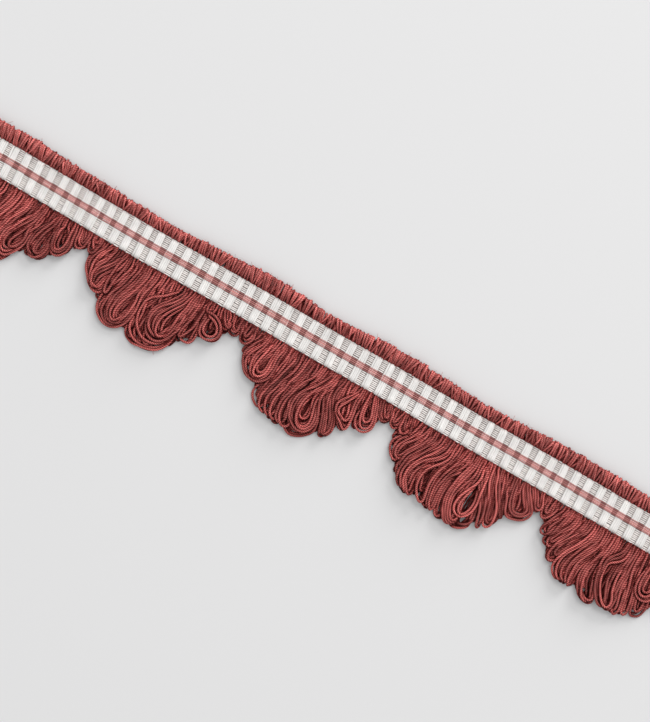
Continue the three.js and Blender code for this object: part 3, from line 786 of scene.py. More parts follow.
# A scallop's lower loops lie in a fan, which is read off between the rows of its table. In a row are the
# place of a loop's root and of its tip along the scallop, how far the tip reaches from the band, how much
# the loop swings near its root and near its tip, its width, and where its legs part, as a share of its
# length. Before the rows stand the two ends of the scallop along the trim.
SCALLOPS = {
    "scallop_1": (-156.70, -94.05, [
        (1, 0.9, 7.2, 0, 0, 3, 0.3), (6, 3.2, 11, 0, -0.5, 3.6, 0.3), (11, 6.5, 16.3, 0, -1, 4.2, 0.35),
        (16, 12, 20.5, 0, -1, 4.4, 0.4), (21, 17, 24.5, 0, -1, 4.6, 0.4),
        (26, 21.5, 26.5, 0, -1.5, 4.8, 0.4), (31, 26, 27.2, 0, -2, 5, 0.4),
        (36, 30.5, 26.8, 0, -2, 5, 0.4), (40.5, 34.8, 24.5, 0.5, -1.5, 5.2, 0.4),
        (43.5, 40, 21, 0.5, -1.2, 5.6, 0.3), (48, 47.6, 19.4, 0, 0, 6, 0.3),
        (53, 54, 14.4, -0.5, 0.4, 5.6, 0.25), (57, 57.8, 10.2, 0, 0.4, 4, 0.3),
        (61.6, 61.8, 6.6, 0, 0, 3.2, 0.3),
    ]),
    "scallop_2": (-94.05, -31.60, [
        (1, 0.9, 7, 0, 0, 3, 0.3), (5.5, 3.2, 10.2, 0, -0.8, 3.6, 0.3), (9, 5.9, 15, 0.5, -1, 4.4, 0.35),
        (13.5, 11, 18.4, 0.5, -0.5, 5, 0.4), (17.5, 15.2, 24.6, 0, -0.5, 4.4, 0.4),
        (22, 20, 26.5, 0, -1, 4.6, 0.4), (27, 24.6, 25.2, 0.5, 0, 4.4, 0.4),
        (31.5, 28.9, 27, -1, -2, 5, 0.4), (36, 32.8, 27.3, -1.5, -2.5, 5.4, 0.3),
        (40, 37.2, 27, -1.5, -2, 5.4, 0.3), (44, 41.5, 24.5, -1, -1, 5, 0.3),
        (47.5, 46.3, 18.6, 0, 0, 5, 0.3), (51.5, 51.4, 14.6, 0, 0, 5.4, 0.25),
        (55, 55.8, 12.9, 0, 0.5, 4.6, 0.25), (58, 58.4, 8.6, 0, 0.4, 3.6, 0.3),
        (61.5, 61.6, 6.4, 0, 0, 3, 0.3),
    ]),
    "scallop_3": (-31.60, 31.05, [
        (1, 0.9, 6.6, 0, 0, 3, 0.3), (5, 4.2, 8.2, 0, 0, 3.4, 0.3), (8.5, 6.3, 12.6, 0, -1.2, 4.4, 0.35),
        (12, 9.2, 16.6, 0, -1.2, 5, 0.35), (16, 13.2, 18, 0.5, -0.5, 5, 0.4),
        (19.5, 16.3, 21.8, 0, -1, 4.2, 0.4), (23, 19.8, 25.3, 0.8, -1.2, 4.4, 0.4),
        (27, 24, 27, 1, -1.8, 4.8, 0.4), (31, 28.8, 27.2, 1, -2.4, 5, 0.4),
        (35, 32.8, 27.4, 0.5, -2.5, 5.2, 0.35), (39, 37, 26.3, -1, -2, 5.6, 0.3),
        (42.5, 41.5, 23.8, -1, -0.5, 5.4, 0.3), (46, 45.6, 22, -0.5, -0.5, 4.8, 0.3),
        (49.5, 49.8, 18, 0, -0.3, 5, 0.3), (53.5, 54.5, 14.4, 0, 0.4, 5.4, 0.25),
        (57.5, 58.3, 11, 0, 0.4, 4.2, 0.3), (61.6, 61.8, 6.8, 0, 0, 3.2, 0.3),
    ]),
    "scallop_4": (31.05, 94.05, [
        (1, 0.9, 7, 0, 0, 3, 0.3), (5.5, 4, 8.8, 0, 0, 3.4, 0.3), (9, 5.3, 12.6, 0, -0.8, 4, 0.35),
        (12.5, 7.4, 16, 0, -1.2, 4.4, 0.4), (16, 10.2, 19, 0, -1.6, 4.4, 0.4),
        (20, 13.4, 22.6, 0.5, -1.6, 4.6, 0.4), (24, 17.8, 25, 0.5, -1.8, 4.8, 0.4),
        (27.5, 22.5, 25.8, 0, -1.5, 5, 0.4), (31, 27.5, 26.6, -0.5, -1.5, 5, 0.4),
        (35, 32.5, 27.1, -0.5, -1.2, 5, 0.4), (38.5, 36.8, 27, -1, -1.5, 5.4, 0.35),
        (41, 41, 26.4, -0.5, 0, 4.6, 0.4), (43.8, 45.4, 23, 0, 0.5, 4.2, 0.4),
        (47, 49.2, 21, 0, 0.6, 4.4, 0.4), (51, 52.6, 16.6, 0, 0.3, 4.2, 0.3),
        (54.5, 56.4, 13.6, 0, 0.5, 4.4, 0.3), (57.5, 59.6, 11.4, 0.3, 0.6, 4, 0.3),
        (62, 62.2, 7, 0, 0, 3.2, 0.3),
    ]),
    "scallop_5": (94.05, 156.70, [
        (1, 0.9, 7.4, 0, 0, 3, 0.3), (5, 3.6, 9.8, 0, 0, 3.6, 0.3), (8.5, 4.9, 13, 0, -1, 4, 0.35),
        (12.5, 8, 16.2, 0, -1.2, 4.4, 0.4), (16.5, 10.9, 19.8, 0, -1.5, 4.4, 0.4),
        (20.5, 14.7, 22.8, 0, -1.8, 4.6, 0.4), (24.5, 18.9, 25.2, 0, -2, 4.6, 0.4),
        (28, 23.6, 26, 0, -2, 4.8, 0.4), (31.5, 28.6, 26.6, 0, -1.5, 5, 0.4),
        (35, 33.4, 26.2, 0, -0.8, 5, 0.4), (38, 38, 25.5, 0, 0, 5, 0.4),
        (41.5, 42.8, 25.2, 0, 0.5, 5, 0.35), (45, 47.2, 23.2, 0, 0.8, 5, 0.3),
        (48.5, 50.3, 20, 0, 0.5, 4.8, 0.3), (52, 53.6, 15.8, 0, 0.4, 4.8, 0.3),
        (56, 57.4, 12, 0, 0.4, 4.2, 0.3), (61.6, 61.8, 6.8, 0, 0, 3.2, 0.3),
    ]),
}

# In a lock are how many loops lie side by side in it, the level that its loops start on and the one that
# they come back on, and its outermost and its innermost loop, or the only one: the place of its first
# root along the scallop, the place and the distance from the band of each knot, and its last root.
LOCKS = {
    "scallop_1": [
        (4, 1, 0, (1, 0.9, 3, 1.4, 6, 3, 7.2, 5, 6.8, 5.6, 4.5, 5, 2, 4.6),
         (2.4, 2.4, 2.4, 2.8, 4.6, 3.6, 5.2, 4.2, 3.8, 4, 1.6, 3.8)),
        (7, 1, 0, (7.6, 7.4, 3, 5.8, 6.6, 4.4, 9.4, 4, 12, 5.6, 14, 8.6, 15.4, 9.8, 12, 11.6, 7.6, 13, 4,
            13.6),
         (13.4, 13, 4, 11.6, 7.4, 9.8, 10.6, 8.8, 13.2, 9.4, 14.4, 10.6, 13, 11.8, 9.8, 13.2, 6, 13.8, 3,
            14)),
        (8, 1, 0, (15.2, 15, 3.4, 13.8, 7.4, 11.8, 11.6, 10.2, 15.8, 10.6, 19.4, 13, 21, 14.8, 19.4, 15,
            15.6, 16.6, 11, 19, 7, 20.4, 3, 20.6),
         (23.4, 23.2, 3.8, 21.6, 7.8, 18.8, 11.8, 16.8, 16, 16.6, 20.4, 18.6, 23.8, 20, 22.6, 19.6, 18.6,
            20.6, 14, 23, 9.4, 24.6, 4, 24.8)),
        (8, 1, 0, (25.4, 25.4, 4, 24.2, 8.6, 22, 13.4, 20.8, 18.4, 21.6, 23, 24.4, 26, 26.6, 25.4, 26.2,
            21, 26.6, 16, 28.6, 10.6, 30.4, 5, 30.6),
         (33, 33, 4, 31.6, 8.6, 29.4, 13, 28, 17.6, 28, 22.4, 29.8, 26.4, 31.8, 25.8, 31.2, 21.6, 31.4,
            16.8, 33, 11.4, 35, 6, 35.6, 2, 35.6)),
        (4, 0, 0, (37, 36.6, 4, 34.4, 9, 32, 14.5, 31.2, 20, 32.6, 25.4, 35.4, 26, 37.8, 23.4, 39.2, 19.6,
            40.2, 14, 41, 9, 42, 4, 42.6),
         (39, 38.4, 4, 36.2, 9, 34, 14, 33.4, 19, 34.6, 23, 36.4, 23.4, 38, 21, 39, 17.4, 39.8, 13, 40.6,
            8.6, 41.6, 4, 41.8)),
        (8, 2, 1, (42, 41.8, 3, 40, 6.6, 37.2, 10, 34.8, 13.6, 33.6, 17.6, 34.6, 21.6, 37, 23.2, 39.6, 21,
            41.8, 18, 42.4, 14.4, 42.8, 9, 43.4, 4, 43.6),
         (43.4, 43, 3.4, 41.9, 7, 40.2, 10.4, 38.4, 13.8, 37.4, 17, 38, 19.2, 39.4, 19, 40.8, 16.4, 41.7,
            13, 42.3, 8.6, 43, 4, 43.2)),
        (6, 1, 1, (48.4, 48.2, 3, 46.2, 6.6, 44.3, 10, 43.4, 13.6, 43.9, 16.7, 46.2, 18.5, 49.4, 18.5,
            51.4, 16.8, 51.8, 14, 51.2, 10.4, 50.6, 5, 50.6),
         (49.6, 49.4, 3.4, 48.4, 7.4, 47.6, 11, 47.1, 14, 47.5, 16, 48.6, 15.8, 49.5, 13, 49.9, 9, 50.2, 5,
            50.3, 2, 50.3)),
        (6, 2, 2, (50.9, 51, 3.6, 50.6, 8, 51.2, 12, 53.6, 13.8, 56.3, 12.6, 57.8, 10.4, 57.5, 7, 56.6,
            3.4, 56),
         (52.2, 52.2, 3, 52, 6.5, 52.5, 9.6, 53.9, 11, 55.4, 10.2, 55.9, 7.6, 55.4, 4.4, 54.9, 2, 54.7)),
        (4, 1, 1, (57, 57.4, 2.5, 57.8, 5.2, 59.2, 7.2, 61.4, 6.6, 62.2, 4, 62, 1.6, 61.8),
         (58.4, 58.7, 2, 59, 4.2, 60, 5.6, 60.9, 4.8, 61.2, 2.6, 61)),
    ],
    "scallop_2": [
        (4, 0, 0, (29, 29, 14, 30.4, 23, 32, 25, 34.4, 23.6, 34.4, 14, 33.6),
         (33, 33.6, 14, 34, 23, 35.6, 25, 37.6, 23.2, 37.6, 14, 37)),
        (4, 1, 1, (0.3, 0.3, 3, 0.8, 5.4, 2, 6.4, 3, 5, 3.4, 2, 4),
         (1.5, 1.4, 2.4, 1.8, 4, 2.4, 3.6, 2.8, 1.6, 3)),
        (9, 1, 0, (5.5, 5, 2.5, 3, 5.5, 2.4, 8.5, 3.4, 11.3, 5.4, 14, 7.8, 16.4, 10.5, 17.7, 12.4, 17,
            12.4, 14, 12.6, 9.5, 13.8, 5, 14.6, 2, 15),
         (14, 13.6, 3, 11.8, 6.8, 9, 9.3, 7.6, 11.6, 7.2, 13.8, 8.2, 15.8, 9, 15, 8.6, 13, 10, 10, 12.6, 7,
            13.8, 4, 14.4)),
        (1, 2, 2, (14.4, 14.2, 3, 13.4, 6, 12.6, 9.5, 12.2, 13, 12.6, 16, 13.4, 17, 13.8, 15, 14, 11, 14.8,
            7, 15.6, 3, 15.8)),
        (10, 1, 1, (17.5, 17.8, 4, 17, 8, 16, 11, 14.6, 13.8, 13.7, 17, 13.8, 20.5, 15.2, 23.6, 18, 25.5,
            21.5, 25.6, 24.3, 24, 25.8, 20.5, 26.4, 15, 26.8, 8, 27.4, 3, 27.5),
         (25.2, 25, 4, 24.2, 8.5, 22.4, 12, 20.8, 15.5, 20, 18.5, 20.2, 21, 21.3, 22.3, 22.8, 21.5, 24, 19,
            24.8, 15, 25.6, 9, 26.4, 4, 26.6)),
        (4, 0, 0, (29.3, 29.2, 5, 28.4, 10, 27, 15, 26.2, 20, 26.8, 24, 29, 26.1, 33, 26.6, 38, 26, 40.8,
            24.4, 42.4, 21, 43.4, 16, 44.4, 8, 45, 3, 45.2),
         (32.5, 32, 5, 30.5, 10, 28.6, 15, 27.8, 20, 28.8, 23.6, 31.5, 25.2, 35.5, 25.4, 38.8, 24.4, 41,
            22.6, 42, 19.5, 42.6, 15, 43.4, 8, 43.8, 3, 44)),
        (1, 2, 2, (37.5, 36.5, 3, 33.5, 6.2, 30.3, 8, 28.6, 10, 28, 13, 28.4, 17, 30, 20, 33, 22.6, 36.5,
            23.4, 39.8, 22.4, 41.8, 19.5, 42.8, 14, 43.5, 8, 44.2, 3, 44.4)),
        (9, 2, 2, (38.5, 38.4, 3, 36.4, 6.5, 33.4, 9.6, 31.4, 12.5, 30.9, 16, 31.8, 19.5, 34.4, 21.9, 37.8,
            22.3, 40.6, 20.6, 42.2, 17, 43, 12, 43.8, 7, 44.4, 3, 44.6),
         (43, 42.8, 3, 41.6, 6.6, 39.8, 9.8, 38.2, 13, 37.6, 16, 38.2, 18.6, 39.4, 19, 40.4, 17, 41, 13.5,
            41.8, 9.5, 42.8, 5, 43.2)),
        (2, 1, 1, (45.2, 45, 4, 44.4, 9, 44, 14, 44.5, 17, 46.5, 17.9, 48.9, 17.4, 49.8, 15, 49.7, 11,
            49.2, 6, 49, 2, 49),
         (45.6, 45.6, 4, 45, 9, 44.7, 13.6, 45.2, 16.4, 46.6, 17.2, 48.2, 16.8, 49, 14.6, 48.9, 11, 48.4,
            6, 48, 2, 48)),
        (2, 2, 1, (48.6, 48.2, 4, 47.8, 8, 47.2, 12, 46.3, 15.4, 45.2, 17, 44.6, 15.6, 44.8, 12, 45.2, 7,
            45.6, 3, 45.8)),
        (3, 0, 0, (50.5, 50.8, 4, 51, 8, 51.8, 11.5, 53.5, 12.3, 55.5, 11.3, 56, 8, 55.6, 4, 55.4),
         (52.5, 52.6, 4, 52.8, 7, 53.3, 9.5, 54, 9.5, 54.3, 7, 54.2, 4, 54.2)),
        (3, 2, 3, (50.2, 49.9, 4, 49.7, 9, 50.8, 12.4, 54, 13.1, 57, 11.6, 57.7, 8.8, 56.6, 6, 53.8, 4.3,
            51, 3.9, 49.2, 4.6, 48.6, 2.5, 48.6),
         (51.4, 51, 4, 50.8, 9, 51.8, 11.2, 54, 11.8, 55.8, 10.8, 56.4, 8.8, 55.6, 6.9, 53.6, 5.4, 51.3, 5,
            50.2, 5, 49.7, 2.5, 49.7)),
        (4, 2, 2, (53.6, 54, 2, 55.2, 4.4, 57, 6.2, 58.5, 6.6, 59.2, 5.4, 58.4, 3.4, 56.8, 1.4, 56),
         (54.8, 55.3, 1.8, 56.2, 3.8, 57.3, 5.4, 58, 5.7, 58.2, 4.8, 57.4, 3, 56.2, 1.2, 55.6)),
        (5, 1, 1, (57, 57.6, 2, 58.6, 4.6, 60, 6.3, 61.8, 6.2, 63, 4.6, 62.6, 2.5, 62.2),
         (59, 59.2, 1.8, 59.6, 3.6, 60.4, 5, 61.4, 5, 62, 4, 61.6, 2, 61)),
    ],
    "scallop_3": [
        (5, 1, 1, (0.6, 0.8, 3, 1.6, 5.8, 3.2, 7, 5.2, 6.6, 6, 4.5, 5.8, 2, 5.4),
         (2.4, 2.4, 2.4, 2.8, 4.6, 3.6, 5.2, 4.2, 3.8, 4, 1.6, 3.8)),
        (10, 1, 1, (9.2, 8.8, 3, 7, 6.3, 5.7, 9, 5.7, 11.6, 7.2, 14.2, 9.5, 16.5, 12.5, 17.1, 15.4, 16.6,
            17.4, 14.4, 17.9, 11, 17.6, 6, 17.8, 2, 17.9),
         (15.2, 15.3, 3, 14.6, 6, 13.2, 9, 12.2, 11.6, 12.8, 13.8, 14, 14.4, 15, 13, 15.4, 10, 15.7, 6.5,
            16, 3, 16.2)),
        (11, 1, 0, (19.2, 19.5, 4, 19.3, 8, 18.2, 12, 16.5, 15.6, 15.4, 19, 16, 21.8, 18.4, 24.1, 20.6,
            24.2, 21.4, 21, 21.2, 16, 22, 10, 22.6, 4, 22.8),
         (32.5, 32.2, 4, 30.8, 8.5, 28.8, 12.5, 27.6, 16.5, 27.2, 20.5, 28.2, 24, 30.6, 26.4, 32.6, 26.2,
            32.8, 23, 31.4, 19, 31.6, 14, 32.8, 8, 33.8, 4, 34)),
        (3, 0, 0, (35, 34.6, 4, 32.5, 9, 30, 14, 28.9, 18.5, 29.6, 22.5, 32.5, 25.8, 36, 26.3, 39.3, 24.4,
            41.3, 21.5, 41, 17, 39.5, 12, 40.2, 7, 41.5, 3, 42),
         (36.5, 36.2, 4, 34.3, 9, 31.8, 14, 30.6, 18, 31.4, 21.8, 33.8, 24.4, 36.6, 24.6, 39, 22.8, 40.2,
            20, 39.9, 16, 38.5, 12, 39.2, 7, 40.5, 3, 41)),
        (6, 2, 2, (37, 36.6, 3, 34.6, 7, 31.6, 10.6, 30, 14.5, 29.6, 18.5, 31, 22, 34, 24.6, 37.4, 25,
            39.6, 23, 40.2, 20, 39.4, 16.5, 37.8, 13, 36.8, 10, 37.8, 6.5, 39.4, 3, 40),
         (39.2, 38.8, 3, 37.4, 6.4, 35.2, 9.6, 33.6, 13, 33.2, 16.6, 33.6, 19.4, 35, 21, 36.8, 20.6, 37.6,
            18.4, 36.8, 15.6, 35.6, 12.6, 35.6, 9.8, 37.4, 6.4, 39, 3, 39.4)),
        (5, 1, 1, (38.6, 38.2, 4, 37.8, 8, 39, 12, 41.2, 16, 42, 19.5, 41.9, 22.1, 43, 22.6, 44.3, 21.4,
            44.2, 18.6, 42.6, 15, 40.6, 11.5, 39.6, 8, 40.2, 4, 41),
         (40.4, 40, 4, 39.8, 8, 41.2, 12, 43.2, 16, 44.6, 19.2, 45.2, 21.5, 46.5, 21, 47, 18.8, 46, 15.6,
            44.2, 12, 43, 8, 43, 4, 43.4)),
        (3, 2, 2, (48.6, 48, 3, 45.8, 6, 43.6, 8.6, 43.3, 10.6, 45, 12.8, 47.6, 14, 49.6, 15.8, 50.8, 17,
            51.4, 15, 51.1, 11, 50.4, 7, 50, 3, 50),
         (49.4, 49, 3, 47, 6, 44.8, 8.8, 44.6, 10.6, 46, 12.2, 48, 13.2, 49.4, 14, 50.2, 13, 50, 10, 49.4,
            6.6, 49.2, 3, 49.2)),
        (4, 0, 0, (43.6, 43.8, 5, 44.4, 10, 46, 14.6, 48.4, 17.3, 49.8, 15.6, 49, 11, 48, 6, 47.4),
         (45.2, 45.3, 4, 45.6, 8, 46.4, 11, 47.2, 12.2, 47.4, 10, 46.8, 6, 46.4)),
        (6, 2, 2, (52, 52.2, 4, 51.9, 8.5, 52.5, 12.2, 54.6, 13.5, 57.1, 12.6, 58.6, 10.6, 58.1, 7.5, 56.8,
            4, 55.4, 1.4, 54.8),
         (53, 53.2, 3, 53.2, 6.4, 53.7, 9, 55, 9.8, 56, 8.8, 56, 6.4, 55, 3.6, 54.2, 1.4, 54)),
        (5, 1, 1, (56.6, 57.4, 2.4, 58.4, 5, 59.4, 7.2, 61, 7, 62.4, 6, 62.2, 3.6, 61.4, 1.4, 61),
         (58.4, 58.8, 1.8, 59.6, 3.8, 60.6, 5.2, 61.4, 4.8, 61.2, 3, 60.4, 1.4, 60)),
    ],
    "scallop_4": [
        (3, 0, 0, (19.6, 19.6, 10, 20, 17, 21.4, 20.4, 23, 17.4, 22.8, 10, 22),
         (20.6, 20.8, 10, 21, 18, 22.4, 22, 24, 18.4, 23.6, 10, 23)),
        (5, 1, 1, (0.2, 0.4, 3, 1, 6, 2.6, 7.3, 4, 6, 4.4, 3, 4.4),
         (1.6, 1.6, 2.4, 2, 4.6, 2.8, 5, 3.2, 3.4, 3.4, 1.6, 3.4)),
        (4, 2, 2, (4.6, 4.4, 3, 5, 6, 6.8, 7.4, 8.4, 6.4, 8.6, 4, 8.4, 1.6, 8.4),
         (5.6, 5.6, 2, 6.1, 4, 7, 5.2, 7.5, 4.2, 7.3, 2.2, 7)),
        (5, 1, 0, (9.8, 9.4, 3, 7.6, 6.8, 5.4, 9.8, 5.2, 12.6, 6.8, 15, 9.4, 17, 10.4, 14.6, 11.4, 11,
            13.6, 7, 14.6, 3, 14.8),
         (14.4, 14, 3, 12.2, 6.6, 10, 9.8, 8.6, 12.8, 8.8, 15, 10, 15.6, 10.6, 13.4, 12, 10, 13.8, 6.6,
            14.8, 3, 15)),
        (10, 1, 0, (16.2, 16, 3.4, 14, 7, 11.8, 10.8, 10.6, 14.6, 10.5, 18.2, 12.6, 21.4, 14.6, 23, 15.4,
            20.4, 15.2, 16.6, 17, 12.6, 19.8, 8.6, 20.6, 4, 20.8),
         (25.4, 25.2, 4, 23.4, 8, 19.8, 10.8, 17, 13.8, 15.8, 17.4, 16.4, 21.6, 18.6, 24.5, 20.2, 24.2,
            19.6, 21, 18.8, 17.6, 19.6, 14.6, 23, 11.4, 25.6, 7, 26.2, 3, 26.3)),
        (2, 3, 2, (26, 26, 3, 25.6, 7, 24, 9.5, 21.4, 11.4, 19.8, 13.6, 19.2, 17, 20, 20.4, 22, 23.2, 23.3,
            24.6, 24.7, 24.2, 24.3, 22, 23.4, 18.4, 23.4, 15, 24.4, 11.6, 26, 7.6, 27.2, 3, 27.4)),
        (6, 1, 0, (26.8, 26.8, 4, 25.6, 9, 24, 13, 23.4, 17, 24.2, 21, 26, 25, 28, 26, 28.6, 23, 27.8, 19,
            28, 14.6, 29.4, 10, 31.2, 5, 31.8),
         (31.4, 31.2, 3.6, 29.6, 7.4, 27.6, 10.6, 26.4, 14, 26.2, 17.6, 27.2, 21.4, 28.6, 24.6, 29.6, 23.6,
            28.8, 19.4, 28.8, 14.8, 29.8, 10.6, 31.6, 6, 32.4)),
        (3, 0, 0, (30.4, 30.4, 5, 29.8, 10, 29.2, 15, 29.4, 20, 30.4, 24.6, 32.4, 26.2, 34, 25, 33, 20, 32,
            15, 32, 10, 32.6, 5, 32.8)),
        (7, 2, 1, (34.4, 34.2, 3.4, 33, 7.2, 31.9, 11, 31.2, 15, 31.4, 19, 32.8, 22.8, 34.8, 25.8, 37,
            26.5, 38, 24.4, 36.4, 20.4, 35.6, 16, 36, 11, 36.8, 6, 37),
         (36.6, 36.6, 4, 36.2, 8, 34.6, 11.6, 33.2, 15, 33.2, 18.6, 34.4, 22, 36.4, 24.8, 38, 24.6, 38,
            21.6, 36.8, 17.8, 36.6, 13.6, 37.4, 9, 37.8, 4, 37.8)),
        (4, 0, 0, (37.2, 37, 5, 35.4, 11, 34, 17, 34.6, 22, 37, 25.6, 40.3, 26.1, 43.2, 24.4, 43.9, 22, 43,
            18, 41.8, 12, 40.8, 5, 40.5),
         (38.6, 38.3, 5, 36.8, 11, 35.4, 17, 36.2, 21.6, 38.4, 24.4, 40.8, 24.4, 42.6, 22.8, 42.6, 20,
            41.8, 16, 40.8, 11, 39.8, 5, 39.5)),
        (3, 2, 2, (39, 38.8, 4, 38.6, 9, 36.6, 13, 35.2, 17, 35.4, 20.4, 37.4, 22.4, 40.4, 21.8, 42, 19,
            42.2, 15, 41.2, 11, 40.4, 7, 40, 3, 39.8),
         (39.2, 39.2, 4, 39, 9, 37.8, 12.6, 36.8, 16, 37.2, 19, 38.6, 20.6, 40, 19.8, 40.9, 17, 41, 13.6,
            40.4, 10, 39.9, 6, 39.6, 3, 39.5)),
        (3, 2, 1, (39.8, 39.8, 4, 40, 8, 42, 12, 44, 16, 45, 20, 45.6, 22.3, 46.6, 22.5, 46.8, 20.4, 45.8,
            16.6, 44.2, 12.6, 42.4, 8, 41.2, 3.4, 40.8)),
        (6, 2, 1, (43, 44, 4, 46, 8, 48.6, 11.6, 49.9, 15.4, 50.4, 19, 49.7, 21.2, 47.8, 21.3, 46.6, 19.4,
            46.4, 15.6, 45, 12, 43, 8, 41.6, 3.6, 41.4),
         (46.8, 47.4, 4, 48.2, 8, 49, 12, 49.6, 15.6, 49.4, 18.2, 48.8, 17.6, 48, 14.6, 46.6, 11.4, 45, 8,
            43.6, 4, 43.2)),
        (1, 1, 1, (48.4, 48.8, 5, 49.4, 10, 50.6, 14.3, 51.5, 16.8, 52.1, 16.6, 51.5, 13.6, 50.4, 9.5,
            49.8, 5, 49.6)),
        (6, 1, 1, (50, 49.9, 4, 50.3, 8, 50.9, 11.4, 52.5, 13.5, 56, 13.2, 59.3, 11.8, 61.1, 9.9, 60.4,
            7.4, 58.4, 4.8, 56, 2, 55.2),
         (51.6, 52.4, 3.4, 53.4, 6.4, 54.2, 9.4, 55, 11.2, 56.6, 11.4, 58.4, 10.4, 58.6, 8.4, 57, 6, 55.2,
            3.4, 54.2, 1.2, 54)),
        (5, 1, 1, (56.6, 57.4, 1.6, 59.4, 4.2, 61.2, 6.8, 63, 6.8, 63.4, 4.6, 62.6, 2.4, 62.4),
         (58.6, 59.4, 1.4, 60.8, 3.4, 61.8, 4.8, 62.4, 4.2, 61.8, 2.4, 60.8, 1, 60.6)),
    ],
    "scallop_5": [
        (5, 1, 1, (0.4, 0.4, 3, 0.9, 6, 2.4, 7.8, 4.2, 7.2, 4.8, 4, 5, 1.6, 5),
         (1.6, 1.6, 2.6, 2, 4.8, 2.9, 5.4, 3.4, 3.8, 3.4, 1.6, 3.4)),
        (4, 1, 1, (7.6, 7.4, 3, 5.8, 6.6, 4.4, 9.2, 3.8, 11.4, 5, 12.7, 6.8, 12.2, 8.2, 9.4, 9.6, 5.6,
            10.4, 2, 10.4),
         (9.4, 9.2, 3, 8, 6.2, 6.4, 9, 5.8, 11, 6.6, 11.6, 7.8, 10, 9, 7, 9.8, 4, 10.2, 1.6, 10.2)),
        (5, 1, 0, (11, 10.8, 4, 9.4, 7.6, 7.6, 11, 6.8, 13.6, 7.8, 15.6, 9.8, 15.2, 10.8, 12, 12.4, 8,
            13.6, 4, 14),
         (13.4, 13, 4, 11.6, 7.4, 9.8, 10.6, 8.8, 13.2, 9.4, 14.4, 10.6, 13, 11.8, 9.8, 13.2, 6, 13.8, 3,
            14)),
        (6, 1, 0, (15.2, 15, 3.4, 13.8, 7.4, 11.8, 11.6, 10.3, 15.4, 10.3, 18.2, 12, 19.8, 13.8, 18.6,
            14.2, 15, 15.8, 11, 18.2, 7, 19.2, 3, 19.4),
         (18.8, 18.4, 3.8, 16.4, 7.8, 14, 11.4, 12.6, 14.8, 12.6, 17, 13.6, 17.2, 14.6, 14.4, 16.4, 10.6,
            18.6, 6.8, 19.4, 3, 19.6)),
        (9, 2, 0, (20, 20, 3.4, 18.8, 7.4, 16.4, 11.4, 14.6, 15.4, 14, 19, 14.9, 21.8, 17.3, 23.9, 19.4,
            24.2, 19.4, 20.6, 19.6, 16, 21.4, 11, 23, 6, 23.6),
         (25, 25, 3.8, 24.2, 8, 22.4, 11.8, 20.9, 15.2, 20.6, 19, 21, 22.4, 21.9, 24.4, 22.1, 22.4, 21.6,
            18.6, 22.4, 14.6, 24.2, 10.4, 25.4, 5.4, 25.8)),
        (6, 1, 1, (26.8, 27, 4, 26.4, 9, 24.8, 13.6, 23.8, 18, 24.6, 22.4, 27.3, 25.3, 30.6, 26.1, 32.2,
            25, 30.8, 21.6, 29.2, 17.6, 28.4, 13, 28.6, 8, 29.4, 4, 29.6),
         (29, 28.8, 4, 27.8, 9, 26.6, 13.4, 26.4, 17.4, 27.4, 21.2, 29.6, 24.4, 31.6, 25.4, 32.4, 24, 30.6,
            20.6, 29.2, 16.6, 28.8, 12, 29.2, 8, 29.8, 4, 30)),
        (5, 2, 1, (35.5, 35.7, 3.2, 35, 6.8, 32.4, 8.8, 30.4, 10.2, 30.2, 14, 31.2, 18, 33.4, 21.8, 36,
            24.6, 38.4, 24.8, 38.8, 22.6, 37.2, 19, 36.2, 15, 36.4, 10, 37, 5, 37.2),
         (33.8, 34, 2.6, 33, 5.4, 30.8, 7.2, 29.6, 9.4, 29.4, 13.4, 30.2, 17.6, 32, 21.4, 34.6, 24.4, 36.6,
            24.6, 36.4, 22, 34.8, 18.4, 34, 14, 34.6, 9, 35.2, 5, 35.2)),
        (7, 1, 1, (36, 36.2, 4, 35.6, 9, 35, 14, 35.2, 18.6, 36.8, 23, 38.6, 24.7, 40, 23.8, 39, 19, 37.8,
            14, 37.4, 9, 37.7, 4, 37.8),
         (39.5, 39.8, 4, 40.2, 9, 41.4, 14, 42.6, 19, 43.4, 23.4, 44.7, 23.6, 45.3, 21.5, 44.2, 16.5, 42.8,
            11.5, 42, 6, 41.8, 2, 41.6)),
        (4, 0, 0, (43.2, 43.8, 6, 44.4, 12, 45.2, 18, 46.2, 22.3, 48.4, 22.3, 50.2, 21.2, 49.9, 18, 48.8,
            12, 48.4, 6, 48.4),
         (45, 45.2, 6, 45.6, 12, 46.4, 17, 47.4, 19.6, 48.4, 19, 48.2, 16, 47.4, 11, 46.8, 6, 46.6)),
        (4, 2, 2, (43.5, 44, 3, 43.6, 7, 43.3, 11, 44.5, 14.8, 47.6, 16.2, 50.6, 15.4, 51.4, 12, 49.8, 8,
            47.8, 4, 47),
         (45, 45.4, 3, 45.2, 6.5, 45.1, 10, 45.9, 12.6, 47.6, 13.2, 49, 12.2, 49.2, 10, 48.2, 7, 46.8, 3.5,
            46.3)),
        (5, 1, 1, (51, 51, 4, 51.4, 9, 52.4, 13.4, 55.1, 13.6, 57.8, 12, 58.7, 9.5, 58, 6, 57, 2.5, 56.8),
         (53, 53, 3.5, 53.2, 7, 53.8, 9.6, 55.2, 10, 56.2, 8.8, 56.3, 6.8, 55.7, 4.6, 55.2, 2, 55)),
        (4, 1, 1, (57.5, 58.3, 3, 59.6, 6.3, 61, 6.8, 62, 6, 61.6, 3, 61.4),
         (59, 59.3, 2.4, 60, 5, 61, 5.6, 61.4, 5, 61, 2.4, 60.6)),
    ],
}


